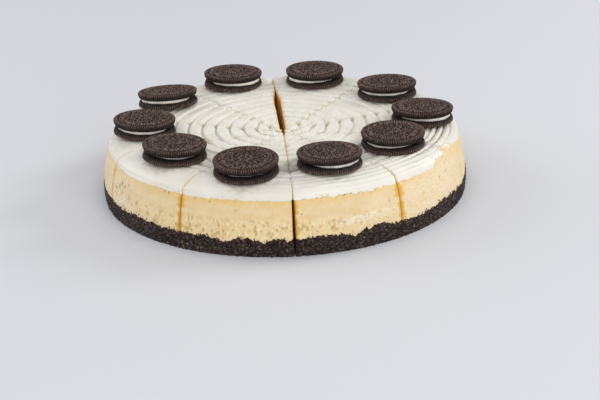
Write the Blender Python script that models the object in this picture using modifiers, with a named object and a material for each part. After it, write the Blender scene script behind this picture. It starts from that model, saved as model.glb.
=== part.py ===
"""A baked cheesecake, ten inches across, cut in ten slices that still stand together.

Each slice is three closed solids: a dark crumb crust, the pale baked filling, and cream combed in
rings on top. A sandwich biscuit lies on each slice: two dark wafers with a disc of cream between.
Metres, +Z up. The origin is on the cake's axis, level with the underside of the crust.
"""

from math import atan2, cos, exp, hypot, pi, radians, sin, sqrt, tan

import bmesh
import bpy
from mathutils import Vector

MM = 0.001
AXIS = Vector((0.0, 0.0))

# The cake's side leans in as it rises, then turns over a soft shoulder to the level top.
WIDEST_RADIUS = 129.7 * MM
WIDEST_HEIGHT = 10.0 * MM
LEAN_PER_METRE = 6.2
SHOULDER_HEIGHT = 40.0 * MM
SHOULDER_INNER_RADIUS = 107.0 * MM
SHOULDER_POWER = 1.7
CREAM_TOP = 46.8 * MM
CREAM_LIP = 0.5 * MM
THINNEST_CREAM = 1.0 * MM

# Where the layers meet at the side. Waves are (height in mm, waves in a full turn, phase).
# The crumb line wanders. The cream line is nearly level, but the filling smears up it in one place.
CRUST_HEIGHT = 12.2 * MM
CRUST_WAVES = ((0.55, 5, 0.7), (0.6, 11, 2.1), (0.7, 19, 4.0))
FILLING_HEIGHT = 37.6 * MM
FILLING_WAVES = ((0.25, 4, 1.0), (0.3, 13, 0.4))
SMEAR_ANGLE = radians(-25.0)
SMEAR_WIDTH = radians(9.0)
SMEAR_RISE = 4.6 * MM
CRUMB_DEPTH = 0.35 * MM
CRUMBS_ROUND = 67
CRUMBS_SLOW_ROUND = 41
CRUMBS_UP_PER_METRE = 620.0

# The comb's rings turn about a point a little in front of the cake's axis.
COMB_CENTRE = Vector((1.0, -5.0)) * MM
COMB_PITCH = 9.8 * MM
COMB_DEPTH = 1.5 * MM
FIRST_RING = 2
LAST_RING = 10

# The knife's strokes run from one point to these places on the rim, in order.
HUB = Vector((0.0, -16.0)) * MM
CUT_DEGREES = (-88.0, -53.6, -17.5, 18.7, 55.6, 93.4, 129.4, 164.8, 201.3, 236.7)
SLICES = len(CUT_DEGREES)
CUT_HALF_WIDTH = 0.2 * MM
WIDEST_SHARE_OF_TIP = 0.6

# The far cut stands open, widest a third of the way out. The front cut opens at its tip and mouth.
# Shares are of the way from the hub to the rim.
FAR_CUT = 5
FAR_HALF_WIDTH = 0.5 * MM
FAR_OPENING = 1.85 * MM
FAR_OPENING_SHARE = 0.34
FAR_OPENING_SPREAD = 0.24
FRONT_CUT = 0
FRONT_TIP_OPENING = 1.3 * MM
FRONT_TIP_SPREAD = 0.05
FRONT_MOUTH_OPENING = 0.6 * MM
FRONT_MOUTH_SPREAD = 0.08

# A biscuit's size, and for each slice's biscuit its distance from the axis in mm, its angle, and
# how far it leans to the right and to the back in degrees.
BISCUIT_RADIUS = 22.0 * MM
WAFER_THICK = 4.0 * MM
WAFER_EDGE = 0.7 * MM
WAFER_RIM = 3.2 * MM
WAFER_FIELD_DROP = 0.5 * MM
BISCUIT_CREAM_THICK = 2.3 * MM
BISCUIT_CREAM_RADIUS = 19.6 * MM
BISCUIT_BASE = 47.4 * MM
BISCUITS = (
    (93.6, -71.3, 0.0, 2.4),
    (92.5, -36.1, 0.2, -0.5),
    (99.3, -3.4, 1.0, 3.0),
    (94.4, 34.0, -0.3, 3.0),
    (94.5, 74.2, 0.4, 1.3),
    (98.2, 112.0, 1.1, 2.2),
    (98.9, 148.7, -1.7, 7.0),
    (98.6, 184.7, 2.3, 1.8),
    (96.6, 219.5, 2.9, 1.3),
    (99.2, 255.1, -0.3, -2.4),
)
PRESS_RADIUS = BISCUIT_RADIUS + 7.0 * MM

# The spaces between pieces, and how finely the solids are divided.
CLEARANCE = 0.3 * MM
LAYER_GAP = 0.5 * MM
SMEAR_GAP_SHARE = 0.2
TIP_SHARE = 0.014
LAYER_ROWS = (TIP_SHARE, 0.5, 0.92)
SHOULDER_SHARES = (0.0, 0.35, 0.65, 0.88, 1.0)
SIDE_LEVELS = 3
STEPS_ACROSS = 8
WAFER_STEPS = 20
DISC_STEPS = 12
FLAT_WITHIN = 1e-6 * MM


def clear_scene():
    for item in list(bpy.data.objects):
        bpy.data.objects.remove(item, do_unlink=True)


def collection(name):
    made = bpy.data.collections.new(name)
    bpy.context.scene.collection.children.link(made)
    return made


def material(name, colour, roughness):
    """A Principled material of one colour."""
    made = bpy.data.materials.new(name)
    made.use_nodes = True
    shader = made.node_tree.nodes["Principled BSDF"]
    shader.inputs["Base Color"].default_value = (*colour, 1.0)
    shader.inputs["Roughness"].default_value = roughness
    return made


def outer_radius(height):
    """The side's radius at a height: a slight inward lean, then the shoulder's rounded quarter."""
    above = min(height, SHOULDER_HEIGHT) - WIDEST_HEIGHT
    side = WIDEST_RADIUS - LEAN_PER_METRE * above * above
    rise = (height - SHOULDER_HEIGHT) / (CREAM_TOP - SHOULDER_HEIGHT)
    if rise <= 0.0:
        return side
    across = (1.0 - min(rise, 1.0) ** SHOULDER_POWER) ** (1.0 / SHOULDER_POWER)
    return SHOULDER_INNER_RADIUS + (side - SHOULDER_INNER_RADIUS) * across


def shoulder_height(radius):
    """The same curve read the other way: the top's height at a radius, without the combing."""
    edge = outer_radius(SHOULDER_HEIGHT)
    across = (radius - SHOULDER_INNER_RADIUS) / (edge - SHOULDER_INNER_RADIUS)
    if across <= 0.0:
        return CREAM_TOP
    rise = (1.0 - min(across, 1.0) ** SHOULDER_POWER) ** (1.0 / SHOULDER_POWER)
    return SHOULDER_HEIGHT + (CREAM_TOP - SHOULDER_HEIGHT) * rise


def wander(angle, waves):
    """The sum of sines that a list of waves describes, in metres."""
    return MM * sum(size * sin(count * angle + phase) for size, count, phase in waves)


def crust_line(angle):
    """Height of the crust's top edge at the side."""
    return CRUST_HEIGHT + wander(angle, CRUST_WAVES)


def filling_line(angle):
    """Height of the filling's top edge at the side."""
    away = (angle - SMEAR_ANGLE + pi) % (2.0 * pi) - pi
    smear = SMEAR_RISE * exp(-((away / SMEAR_WIDTH) ** 2))
    return FILLING_HEIGHT + wander(angle, FILLING_WAVES) + smear


def crumb_relief(angle, height):
    """How far the crust's side stands out or in, in lumps a few millimetres across."""
    lumps = sin(CRUMBS_ROUND * angle) * sin(CRUMBS_UP_PER_METRE * height)
    return CRUMB_DEPTH * (lumps + 0.5 * sin(CRUMBS_SLOW_ROUND * angle))


def half_gap(cut, share):
    """Half the width of a knife cut, at a share of the way from the hub to the rim."""
    if cut == FAR_CUT:
        away = (share - FAR_OPENING_SHARE) / FAR_OPENING_SPREAD
        return FAR_HALF_WIDTH + FAR_OPENING * exp(-away * away)
    if cut == FRONT_CUT:
        tip = FRONT_TIP_OPENING * exp(-((share / FRONT_TIP_SPREAD) ** 2))
        mouth = FRONT_MOUTH_OPENING * exp(-(((1.0 - share) / FRONT_MOUTH_SPREAD) ** 2))
        return CUT_HALF_WIDTH + tip + mouth
    return CUT_HALF_WIDTH


def polar(degrees, radius):
    return Vector((radius * cos(radians(degrees)), radius * sin(radians(degrees))))


def cut_normal(cut):
    """The unit vector square to a cut, pointing anticlockwise."""
    along = (polar(CUT_DEGREES[cut], WIDEST_RADIUS) - HUB).normalized()
    return Vector((-along.y, along.x))


def ray_length(direction, centre, radius):
    """How far a ray from the hub runs before it meets a circle."""
    offset = HUB - centre
    middle = offset.dot(direction)
    return -middle + sqrt(middle * middle - offset.dot(offset) + radius * radius)


def slice_point(index, across, reach):
    """A point of a slice in plan. across runs from 0 at one cut to 1 at the next. reach gives the
    distance from the hub, from the ray's direction and its length to the widest radius."""
    first, second = index, (index + 1) % SLICES
    start = CUT_DEGREES[first]
    span = (CUT_DEGREES[second] - start) % 360.0
    rim = polar(start + span * across, WIDEST_RADIUS)
    full = (rim - HUB).length
    direction = (rim - HUB) / full
    distance = reach(direction, full)
    share = distance / full
    sides = (half_gap(first, share), half_gap(second, share))
    shift = cut_normal(first) * sides[0] * (1.0 - across) - cut_normal(second) * sides[1] * across
    room = WIDEST_SHARE_OF_TIP * distance * radians(span)
    return HUB + direction * distance + shift * min(1.0, room / sum(sides))


def to_full(way, full):
    """Reach out to the widest radius."""
    return full


def to_circle(radius):
    """Reach out to a circle round the cake's axis."""
    return lambda way, full: ray_length(way, AXIS, radius)


def rim_angle(index, across):
    """The angle round the cake's axis of a slice's rim."""
    rim = slice_point(index, across, to_full)
    return atan2(rim.y, rim.x)


def biscuit_frame(index):
    """A biscuit's base centre and the unit vector square to its base."""
    ring, degrees, lean_right, lean_back = BISCUITS[index]
    normal = Vector((tan(radians(lean_right)), tan(radians(lean_back)), 1.0)).normalized()
    return Vector((*polar(degrees, ring * MM), BISCUIT_BASE)), normal


def comb_ridge(x, y):
    """The comb's rings: rounded bands with a narrow valley between, fading out at the middle."""
    away = hypot(x - COMB_CENTRE.x, y - COMB_CENTRE.y)
    band = abs(sin(pi * away / COMB_PITCH))
    fade = min(1.0, away / (FIRST_RING * COMB_PITCH))
    return -COMB_DEPTH * (1.0 - band) * fade


def cream_height(x, y):
    """The top's height: level or shoulder, less the combing, and pressed down by the biscuits."""
    radius = hypot(x, y)
    height = shoulder_height(radius)
    if radius < SHOULDER_INNER_RADIUS:
        height += comb_ridge(x, y)
    for index in range(SLICES):
        base, normal = biscuit_frame(index)
        offset = Vector((x - base.x, y - base.y))
        if offset.length < PRESS_RADIUS:
            under = base.z - (offset.x * normal.x + offset.y * normal.y) / normal.z
            height = min(height, under - CLEARANCE)
    return height


def between(low, high, steps):
    return [low + (high - low) * step / steps for step in range(steps + 1)]


def is_level(face, level, corner_level):
    """Whether a face belongs to this level of its block and lies flat."""
    heights = [corner.co.z for corner in face.verts]
    on_level = all(corner_level[corner] == level for corner in face.verts)
    return on_level and max(heights) - min(heights) < FLAT_WITHIN


def block(name, across, along, levels, place, finish, group):
    """A closed block: a flat grid, extruded up through its levels, with each corner moved to
    place(across, row, level), and the flat parts of its two ends joined into single faces."""
    mesh = bmesh.new()
    bmesh.ops.create_grid(mesh, x_segments=across, y_segments=along, size=1.0)
    faces = list(mesh.faces)
    for level in range(levels):
        raised = bmesh.ops.extrude_face_region(mesh, geom=faces)["geom"]
        if level:
            bmesh.ops.delete(mesh, geom=faces, context="FACES")
        faces = [item for item in raised if isinstance(item, bmesh.types.BMFace)]
        corners = [item for item in raised if isinstance(item, bmesh.types.BMVert)]
        bmesh.ops.translate(mesh, verts=corners, vec=(0.0, 0.0, 1.0))
    corner_level = {corner: round(corner.co.z) for corner in mesh.verts}
    for corner in mesh.verts:
        side = (corner.co.x + 1.0) / 2.0
        row = round((corner.co.y + 1.0) / 2.0 * along)
        corner.co = place(side, row, corner_level[corner])
    for level in (0, levels):
        flat = [face for face in mesh.faces if is_level(face, level, corner_level)]
        if flat:
            bmesh.ops.dissolve_faces(mesh, faces=flat, use_verts=False)
    bmesh.ops.triangulate(mesh, faces=list(mesh.faces))
    bmesh.ops.recalc_face_normals(mesh, faces=list(mesh.faces))
    data = bpy.data.meshes.new(name)
    mesh.to_mesh(data)
    mesh.free()
    data.materials.append(finish)
    made = bpy.data.objects.new(name, data)
    group.objects.link(made)
    return made


def layer_slice(name, index, flat_heights, edge_heights, relief, finish, group):
    """A crust or filling slice, from its heights inside and, as functions of the angle, the
    heights and the relief of its edge."""
    levels = len(flat_heights) - 1

    def place(across, row, level):
        if row < len(LAYER_ROWS):
            inside = slice_point(index, across, lambda way, full: full * LAYER_ROWS[row])
            return (*inside, flat_heights[level])
        angle = rim_angle(index, across)
        height = edge_heights(angle)[level]
        radius = outer_radius(height) + relief(angle, height)
        return (*slice_point(index, across, to_circle(radius)), height)

    return block(name, STEPS_ACROSS, len(LAYER_ROWS), levels, place, finish, group)


def crust_slice(index, finish, group):
    """The crust of one slice: level inside, a wandering crumbly edge outside."""
    name = f"crust_{index + 1:02d}"
    inside = between(0.0, CRUST_HEIGHT, SIDE_LEVELS)

    def outside(angle):
        return between(0.0, crust_line(angle), SIDE_LEVELS)

    return layer_slice(name, index, inside, outside, crumb_relief, finish, group)


def filling_slice(index, finish, group):
    """The baked filling of one slice, between the crumb line and the cream line."""
    name = f"filling_{index + 1:02d}"
    inside = between(CRUST_HEIGHT + LAYER_GAP, FILLING_HEIGHT, SIDE_LEVELS)

    def outside(angle):
        return between(crust_line(angle) + LAYER_GAP, filling_line(angle), SIDE_LEVELS)

    return layer_slice(name, index, inside, outside, lambda *_: 0.0, finish, group)


def cream_underside(index, across, flat, line, edge):
    """The cream's underside follows the filling: level inside, then a slope to the side's line."""
    floor = FILLING_HEIGHT + LAYER_GAP
    inner = LAYER_ROWS[-1] * (slice_point(index, across, to_full) - HUB).length
    outer = (slice_point(index, across, to_circle(edge)) - HUB).length
    share = max(0.0, ((flat - HUB).length - inner) / (outer - inner))
    return floor + (line - floor) * share


def cream_slice(index, finish, group):
    """The combed cream of one slice. Its rows follow the comb's valleys and crests out to the
    shoulder, and then the shoulder down to the side."""
    valleys_and_crests = range(2 * FIRST_RING, 2 * LAST_RING)
    rings = [step * COMB_PITCH / 2.0 for step in valleys_and_crests]
    rows = 1 + len(rings) + len(SHOULDER_SHARES)

    def place(across, row, level):
        line = filling_line(rim_angle(index, across))
        line += LAYER_GAP + SMEAR_GAP_SHARE * max(0.0, line - FILLING_HEIGHT)
        lip = max(SHOULDER_HEIGHT + CREAM_LIP, line + THINNEST_CREAM)
        edge = outer_radius(lip if level else line)

        def reach(way, full):
            if row == 0:
                return full * TIP_SHARE
            if row <= len(rings):
                return ray_length(way, COMB_CENTRE, rings[row - 1])
            share = SHOULDER_SHARES[row - 1 - len(rings)]
            radius = SHOULDER_INNER_RADIUS + (edge - SHOULDER_INNER_RADIUS) * share
            return ray_length(way, AXIS, radius)

        flat = slice_point(index, across, reach)
        if not level:
            return (*flat, cream_underside(index, across, flat, line, edge))
        return (*flat, lip if row == rows - 1 else cream_height(*flat))

    name = f"cream_{index + 1:02d}"
    return block(name, STEPS_ACROSS, rows - 1, 1, place, finish, group)


def turned_mesh(name, profile, finish):
    """An open outline from the axis, down the outer side and back to the axis."""
    data = bpy.data.meshes.new(name)
    edges = [(spot, spot + 1) for spot in range(len(profile) - 1)]
    data.from_pydata([(radius, 0.0, height) for radius, height in profile], edges, [])
    data.materials.append(finish)
    return data


def turned_piece(name, data, steps, parent, height, group):
    """One turned piece, standing at a height over its parent's origin."""
    made = bpy.data.objects.new(name, data)
    group.objects.link(made)
    made.parent = parent
    made.location = (0.0, 0.0, height)
    screw = made.modifiers.new("turn", "SCREW")
    screw.axis = "Z"
    screw.angle = 2.0 * pi
    screw.steps = steps
    screw.render_steps = steps
    screw.use_merge_vertices = True
    screw.merge_threshold = 0.00001
    return made


def lower_wafer_profile():
    flat = BISCUIT_RADIUS - WAFER_EDGE
    return [
        (0.0, WAFER_THICK),
        (flat, WAFER_THICK),
        (BISCUIT_RADIUS, WAFER_THICK - WAFER_EDGE),
        (BISCUIT_RADIUS, WAFER_EDGE),
        (flat, 0.0),
        (0.0, 0.0),
    ]


def upper_wafer_profile():
    """The upper wafer's face is sunk inside a raised rim."""
    inner = BISCUIT_RADIUS - WAFER_RIM
    face = WAFER_THICK - WAFER_FIELD_DROP
    sunk = [(0.0, face), (inner - WAFER_FIELD_DROP, face), (inner, WAFER_THICK)]
    return sunk + lower_wafer_profile()[1:]


def biscuit_cream_profile():
    thick = BISCUIT_CREAM_THICK - 2.0 * CLEARANCE
    return [(0.0, thick), (BISCUIT_CREAM_RADIUS, thick), (BISCUIT_CREAM_RADIUS, 0.0), (0.0, 0.0)]


def biscuit(index, meshes, group):
    """One sandwich biscuit on an empty that leans as the biscuit lies."""
    base, normal = biscuit_frame(index)
    number = f"{index + 1:02d}"
    seat = bpy.data.objects.new(f"biscuit_seat_{number}", None)
    group.objects.link(seat)
    seat.location = base
    seat.rotation_euler = Vector((0.0, 0.0, 1.0)).rotation_difference(normal).to_euler()
    middle = WAFER_THICK + CLEARANCE
    upper = WAFER_THICK + BISCUIT_CREAM_THICK
    turned_piece(f"wafer_lower_{number}", meshes["lower"], WAFER_STEPS, seat, 0.0, group)
    turned_piece(f"wafer_cream_{number}", meshes["cream"], DISC_STEPS, seat, middle, group)
    turned_piece(f"wafer_upper_{number}", meshes["upper"], WAFER_STEPS, seat, upper, group)


def main():
    clear_scene()
    group = collection("baked_cheesecake")
    crust = material("crust_crumb", (0.022, 0.014, 0.013), 0.85)
    filling = material("baked_filling", (0.80, 0.62, 0.33), 0.55)
    cream = material("combed_cream", (0.80, 0.78, 0.70), 0.45)
    wafer = material("dark_wafer", (0.045, 0.026, 0.019), 0.75)
    centre = material("biscuit_cream", (0.78, 0.70, 0.63), 0.6)
    for index in range(SLICES):
        crust_slice(index, crust, group)
        filling_slice(index, filling, group)
        cream_slice(index, cream, group)
    meshes = {
        "lower": turned_mesh("wafer_lower", lower_wafer_profile(), wafer),
        "upper": turned_mesh("wafer_upper", upper_wafer_profile(), wafer),
        "cream": turned_mesh("wafer_cream", biscuit_cream_profile(), centre),
    }
    for index in range(SLICES):
        biscuit(index, meshes, group)


main()
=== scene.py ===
# %% [markdown]
# # Dressing a baked cheesecake
#
# The real object is a whole baked cheesecake, ten inches across, that a knife has cut in ten
# slices. Each slice has a dark crumb crust, a pale baked filling and a layer of cream that was
# combed in rings, with a sandwich biscuit on top. The CAD model has plain solids for all of these.
#
# Food looks real through small unevenness: crumbs, pores, drag marks and torn edges. They could
# come from textures, from sculpting or from formulas. Formulas are used here, because they put the
# detail at its real size in millimetres, and a number is easily changed. Each solid is replaced by
# a fine surface that keeps its form.

from math import cos, pi, radians, sin, tan

import bpy
import numpy as np
from mathutils import Matrix, Vector


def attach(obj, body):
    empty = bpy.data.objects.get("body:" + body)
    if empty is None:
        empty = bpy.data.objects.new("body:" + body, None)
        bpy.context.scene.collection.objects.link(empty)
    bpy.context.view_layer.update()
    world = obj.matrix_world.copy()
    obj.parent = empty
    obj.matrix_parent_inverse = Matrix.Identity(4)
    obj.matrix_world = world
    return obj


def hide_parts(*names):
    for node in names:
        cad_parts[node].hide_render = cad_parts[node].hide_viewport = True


MM = 0.001
SLICES = 10
TURN = 2.0 * pi


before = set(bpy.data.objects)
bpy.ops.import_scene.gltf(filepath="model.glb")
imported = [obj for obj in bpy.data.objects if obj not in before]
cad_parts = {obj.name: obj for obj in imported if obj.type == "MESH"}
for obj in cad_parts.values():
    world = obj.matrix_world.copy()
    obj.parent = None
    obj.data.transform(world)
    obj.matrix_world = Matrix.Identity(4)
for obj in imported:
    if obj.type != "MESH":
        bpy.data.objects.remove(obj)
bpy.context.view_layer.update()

# %% [markdown]
# ## The camera
#
# The photograph was taken from a little above the table with a long lens, so the circles of the
# cake look like flat ovals and hardly narrow towards the back. A camera can be placed by eye, or
# worked out from points whose real positions are known. The second way is used: the rims of the
# biscuits give the distance, the height and the small tilts. Blender wants the camera's right,
# up and backward directions as the columns of a matrix.

# %% Place the camera
CAMERA_DISTANCE = 1206.5
CAMERA_RISE = radians(21.695)
CAMERA_YAW = radians(0.518)
CAMERA_PITCH = radians(0.574)
CAMERA_ROLL = radians(-2.116)
FOCAL_PIXELS = 1662.0
FRAME_PIXELS = 600.0
SENSOR_MM = 36.0


def place_camera():
    """A camera on a sphere round the cake's foot, turned by yaw, pitch and roll."""
    dip = CAMERA_RISE + CAMERA_PITCH
    spot = Vector((0.0, -cos(CAMERA_RISE), sin(CAMERA_RISE))) * CAMERA_DISTANCE * MM
    ahead = Vector((sin(CAMERA_YAW) * cos(dip), cos(CAMERA_YAW) * cos(dip), -sin(dip)))
    side = ahead.cross(Vector((0.0, 0.0, 1.0))).normalized()
    rise = side.cross(ahead)
    right = side * cos(CAMERA_ROLL) + rise * sin(CAMERA_ROLL)
    up = rise * cos(CAMERA_ROLL) - side * sin(CAMERA_ROLL)
    lens = bpy.data.cameras.new("camera")
    lens.sensor_fit = "HORIZONTAL"
    lens.sensor_width = SENSOR_MM
    lens.lens = FOCAL_PIXELS / FRAME_PIXELS * SENSOR_MM
    lens.clip_start = 0.05
    lens.clip_end = 30.0
    made = bpy.data.objects.new("camera", lens)
    bpy.context.scene.collection.objects.link(made)
    turned = Matrix((right, up, -ahead)).transposed().to_4x4()
    made.matrix_world = Matrix.Translation(spot) @ turned
    return made


camera = place_camera()
bpy.context.scene.camera = camera
print("camera at", [round(value, 3) for value in camera.matrix_world.translation])

# %% [markdown]
# ## Noise with a real size
#
# All the unevenness comes from two kinds of noise. Cloud noise is smooth and fits drag marks and
# wavy edges. Pebble noise has rounded lumps with creases between, and fits crumbs and pores.
# Blender has both as texture nodes, but only numpy can move the points of a mesh here. Both
# start from a table of seeded random numbers, so each run gives the same cake.

# %% Cloud and pebble noise
TABLE = 32


def cloud(x, y, z, seed):
    """Smooth noise from -1 to 1, one cell per unit: random corner values blended by the smooth
    step 3t^2 - 2t^3 in each direction."""
    table = np.random.default_rng(seed).uniform(-1.0, 1.0, (TABLE, TABLE, TABLE))
    spots = np.stack(np.broadcast_arrays(x, y, z), axis=-1)
    cells = np.floor(spots).astype(int)
    part = spots - cells
    part = part * part * (3.0 - 2.0 * part)
    total = np.zeros(spots.shape[:-1])
    for corner in np.ndindex(2, 2, 2):
        weight = np.prod(np.where(corner, part, 1.0 - part), axis=-1)
        near = (cells + corner) % TABLE
        total += weight * table[near[..., 0], near[..., 1], near[..., 2]]
    return total


def pebbles(x, y, seed):
    """Rounded lumps from 0 to 1, about one per unit square: 1 less the distance to the nearest of
    the centres, of which each square holds one at a random place."""
    table = np.random.default_rng(seed).uniform(0.1, 0.9, (TABLE, TABLE, 2))
    column = np.floor(x).astype(int)
    row = np.floor(y).astype(int)
    nearest = np.full(np.broadcast(x, y).shape, 9.0)
    for step_x in (-1, 0, 1):
        for step_y in (-1, 0, 1):
            centre = table[(column + step_x) % TABLE, (row + step_y) % TABLE]
            away_x = column + step_x + centre[..., 0] - x
            away_y = row + step_y + centre[..., 1] - y
            nearest = np.minimum(nearest, np.hypot(away_x, away_y))
    return np.clip(1.0 - nearest, 0.0, 1.0)


trial = cloud(np.linspace(0.0, 9.0, 400), 0.5, 0.5, 1)
print("cloud noise runs from", trial.min().round(2), "to", trial.max().round(2))

# %% [markdown]
# ## The cake's outline
#
# The tin gave the cake its round side, which leans in a little as it rises. A palette knife
# rounded the cream's edge over to the top. Two formulas describe that: a parabola for the side
# and a superellipse for the shoulder. The CAD solids follow the same ones, so the fine surfaces
# lie on them. All lengths are in millimetres until a mesh is made.

# %% The side and the shoulder
WIDEST_RADIUS = 129.7
WIDEST_HEIGHT = 10.0
LEAN = 0.0062
SHOULDER_HEIGHT = 40.0
SHOULDER_INNER_RADIUS = 107.0
SHOULDER_POWER = 1.7
CREAM_TOP = 46.8


def outer_radius(height):
    """The side's radius: widest, less LEAN times the squared height above the widest level, and
    above the shoulder the superellipse (across)^p + (rise)^p = 1."""
    above = np.minimum(height, SHOULDER_HEIGHT) - WIDEST_HEIGHT
    side = WIDEST_RADIUS - LEAN * above * above
    rise = np.clip((height - SHOULDER_HEIGHT) / (CREAM_TOP - SHOULDER_HEIGHT), 0.0, 1.0)
    across = (1.0 - rise**SHOULDER_POWER) ** (1.0 / SHOULDER_POWER)
    return SHOULDER_INNER_RADIUS + (side - SHOULDER_INNER_RADIUS) * across


EDGE_RADIUS = float(outer_radius(SHOULDER_HEIGHT))


def shoulder_height(radius):
    """The same superellipse the other way: the smooth top's height at a radius."""
    across = np.clip((radius - SHOULDER_INNER_RADIUS) / (EDGE_RADIUS - SHOULDER_INNER_RADIUS), 0, 1)
    rise = (1.0 - across**SHOULDER_POWER) ** (1.0 / SHOULDER_POWER)
    return SHOULDER_HEIGHT + (CREAM_TOP - SHOULDER_HEIGHT) * rise


print("radius at the shoulder:", round(EDGE_RADIUS, 1), "mm")

# %% [markdown]
# ## Where the layers meet
#
# The crumb was pressed in by hand, so its top edge is jagged. The filling set level, and the
# cream's lower edge follows it closely, but on one side the knife has dragged filling up over the
# cream. Each line is a height for every angle: slow waves, a few single peaks and dips, and fine
# jags on top.

# %% The crumb line and the cream line
CRUST_HEIGHT = 12.2

# For each wave: its height, its number round the cake and its phase. For each peak: its degrees,
# its width in degrees and its height.
CRUST_WAVES = ((0.55, 5, 0.7), (0.6, 11, 2.1), (0.7, 19, 4.0))
CRUST_PEAKS = (
    (-143.0, 1.6, 1.5), (-115.0, 2.2, 1.5), (-108.0, 1.8, -1.8), (-104.0, 1.6, 1.6),
    (-97.0, 1.6, -2.2), (-92.0, 1.5, 1.8), (-79.0, 5.0, 1.4), (-70.0, 1.5, -2.6),
    (-61.5, 3.0, 2.0), (-46.0, 4.0, -1.4), (-36.0, 3.5, 0.8),
)
FILLING_HEIGHT = 37.6
FILLING_WAVES = ((0.25, 4, 1.0), (0.3, 13, 0.4))
SMEAR_DEGREES = -25.0
SMEAR_WIDTH = 9.0
SMEAR_RISE = 4.6


def waves(angle, list_of_waves):
    """The sum of size * sin(count * angle + phase)."""
    return sum(size * np.sin(count * angle + phase) for size, count, phase in list_of_waves)


def bell(distance, width, power=2):
    """A rounded peak of height 1: exp(-(distance / width)^power), flatter for a high power."""
    return np.exp(-((distance / width) ** power))


def hump(angle, centre, width):
    """The same peak over an angle, with its centre and width in degrees."""
    return bell((np.degrees(angle) - centre + 180.0) % 360.0 - 180.0, width)


def crumb_line(angle):
    """Height of the crust's jagged upper edge."""
    arc = angle * WIDEST_RADIUS
    line = CRUST_HEIGHT + 0.55 * waves(angle, CRUST_WAVES)
    line += sum(size * hump(angle, centre, width) for centre, width, size in CRUST_PEAKS)
    return line + 1.5 * cloud(arc / 2.3, 0.5, 0.5, 11) + 2.0 * cloud(arc / 0.95, 0.5, 0.5, 12)


def cream_line(angle):
    """Height of the filling's upper edge: nearly level, with fine jags where it was dragged."""
    arc = angle * WIDEST_RADIUS
    jags = 0.55 + 1.5 * hump(angle, -68.0, 13.0) + 3.6 * hump(angle, -27.0, 9.0)
    jags = jags + 0.9 * hump(angle, 20.0, 12.0) + 0.9 * hump(angle, 130.0, 25.0)
    line = FILLING_HEIGHT + waves(angle, FILLING_WAVES)
    line += SMEAR_RISE * hump(angle, SMEAR_DEGREES, SMEAR_WIDTH)
    spikes = cloud(arc / 1.9, 0.5, 0.5, 13) + 0.8 * cloud(arc / 0.9, 0.5, 0.5, 14)
    return line + jags * (0.1 + spikes)


around = np.linspace(-pi, pi, 3000)
print("crumb line", crumb_line(around).min().round(1), "to", crumb_line(around).max().round(1))
print("cream line", cream_line(around).min().round(1), "to", cream_line(around).max().round(1))

# %% [markdown]
# ## The knife's cuts
#
# Ten strokes run from one point near the middle out to the rim. Most cuts stay nearly closed,
# one stands open by nearly five millimetres, and the front one gapes at its mouth. A slice is
# described by two parameters: how far across it lies from one cut to the next, and how far out
# from the point where the cuts meet. That makes a grid which fits every slice.

# %% Points of a slice in plan
HUB = np.array((0.0, -16.0))
CUT_DEGREES = (-88.0, -53.6, -17.5, 18.7, 55.6, 93.4, 129.4, 164.8, 201.3, 236.7)
MOST_GAP_SHARE = 0.6
TIP_SHARE = 0.014
FAR_CUT = 5

# Half a gap's width in millimetres, then where along the cut it lies and how far it reaches.
FAR_GAP = (1.95, 0.26, 0.33)
FAR_SWELL = (0.5, 0.48, 0.10)
FRONT_CUT = 0
FRONT_TIP = (1.3, 0.05)
FRONT_MOUTH = 0.08

CROWDING = 0.13


def half_gap(cut, share, layer):
    """Half the width of a cut, at a share of the way out: a flat-topped hump on the open cut,
    openings at the tip and the mouth of the front one, and the layer's own width on the rest."""
    closed, front, mouth = layer
    if cut == FAR_CUT:
        size, middle, width = FAR_GAP
        swell, where, reach = FAR_SWELL
        return closed + size * bell(share - middle, width, 6) + swell * bell(share - where, reach)
    if cut == FRONT_CUT:
        size, width = FRONT_TIP
        return front + size * bell(share, width) + mouth * bell(1.0 - share, FRONT_MOUTH)
    return closed + 0.0 * share


def rim_spot(cut):
    """Where a cut meets the rim."""
    angle = radians(CUT_DEGREES[cut % SLICES])
    return WIDEST_RADIUS * np.array((cos(angle), sin(angle)))


def cut_direction(cut):
    """The unit vector along a cut, away from the hub."""
    along = rim_spot(cut) - HUB
    return along / np.linalg.norm(along)


def slice_rays(index, across):
    """For each share across a slice: the direction from the hub, the distance to the widest
    radius, and the angle round the cake's axis."""
    start = CUT_DEGREES[index]
    span = (CUT_DEGREES[(index + 1) % SLICES] - start) % 360.0
    angle = np.radians(start + span * across)
    rim = WIDEST_RADIUS * np.stack((np.cos(angle), np.sin(angle)), axis=-1) - HUB
    full = np.linalg.norm(rim, axis=-1)
    return rim / full[..., None], full, angle


def circle_distance(direction, radius):
    """How far a ray from the hub runs before it meets a circle round the cake's axis."""
    middle = direction @ HUB
    return -middle + np.sqrt(middle * middle - HUB @ HUB + radius * radius)


def slice_plan(index, across, distance, layer):
    """Points of a slice in plan, moved in from each cut by half the cut's width, or near the tip
    by so much that the two gaps take MOST_GAP_SHARE of the slice. layer is half the width that
    this layer keeps at the shut cuts, at the front cut, and more at its mouth."""
    direction, full, angle = slice_rays(index, across)
    share = distance / full
    first = half_gap(index, share, layer)
    second = half_gap((index + 1) % SLICES, share, layer)
    span = radians((CUT_DEGREES[(index + 1) % SLICES] - CUT_DEGREES[index]) % 360.0)
    fit = np.minimum(1.0, MOST_GAP_SHARE * distance * span / (first + second))
    one = cut_direction(index)
    two = cut_direction(index + 1)
    inward = (first * (1.0 - across) * fit)[..., None] * np.array((-one[1], one[0]))
    back = (second * across * fit)[..., None] * np.array((-two[1], two[0]))
    return HUB + direction * distance[..., None] + inward - back


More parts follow.
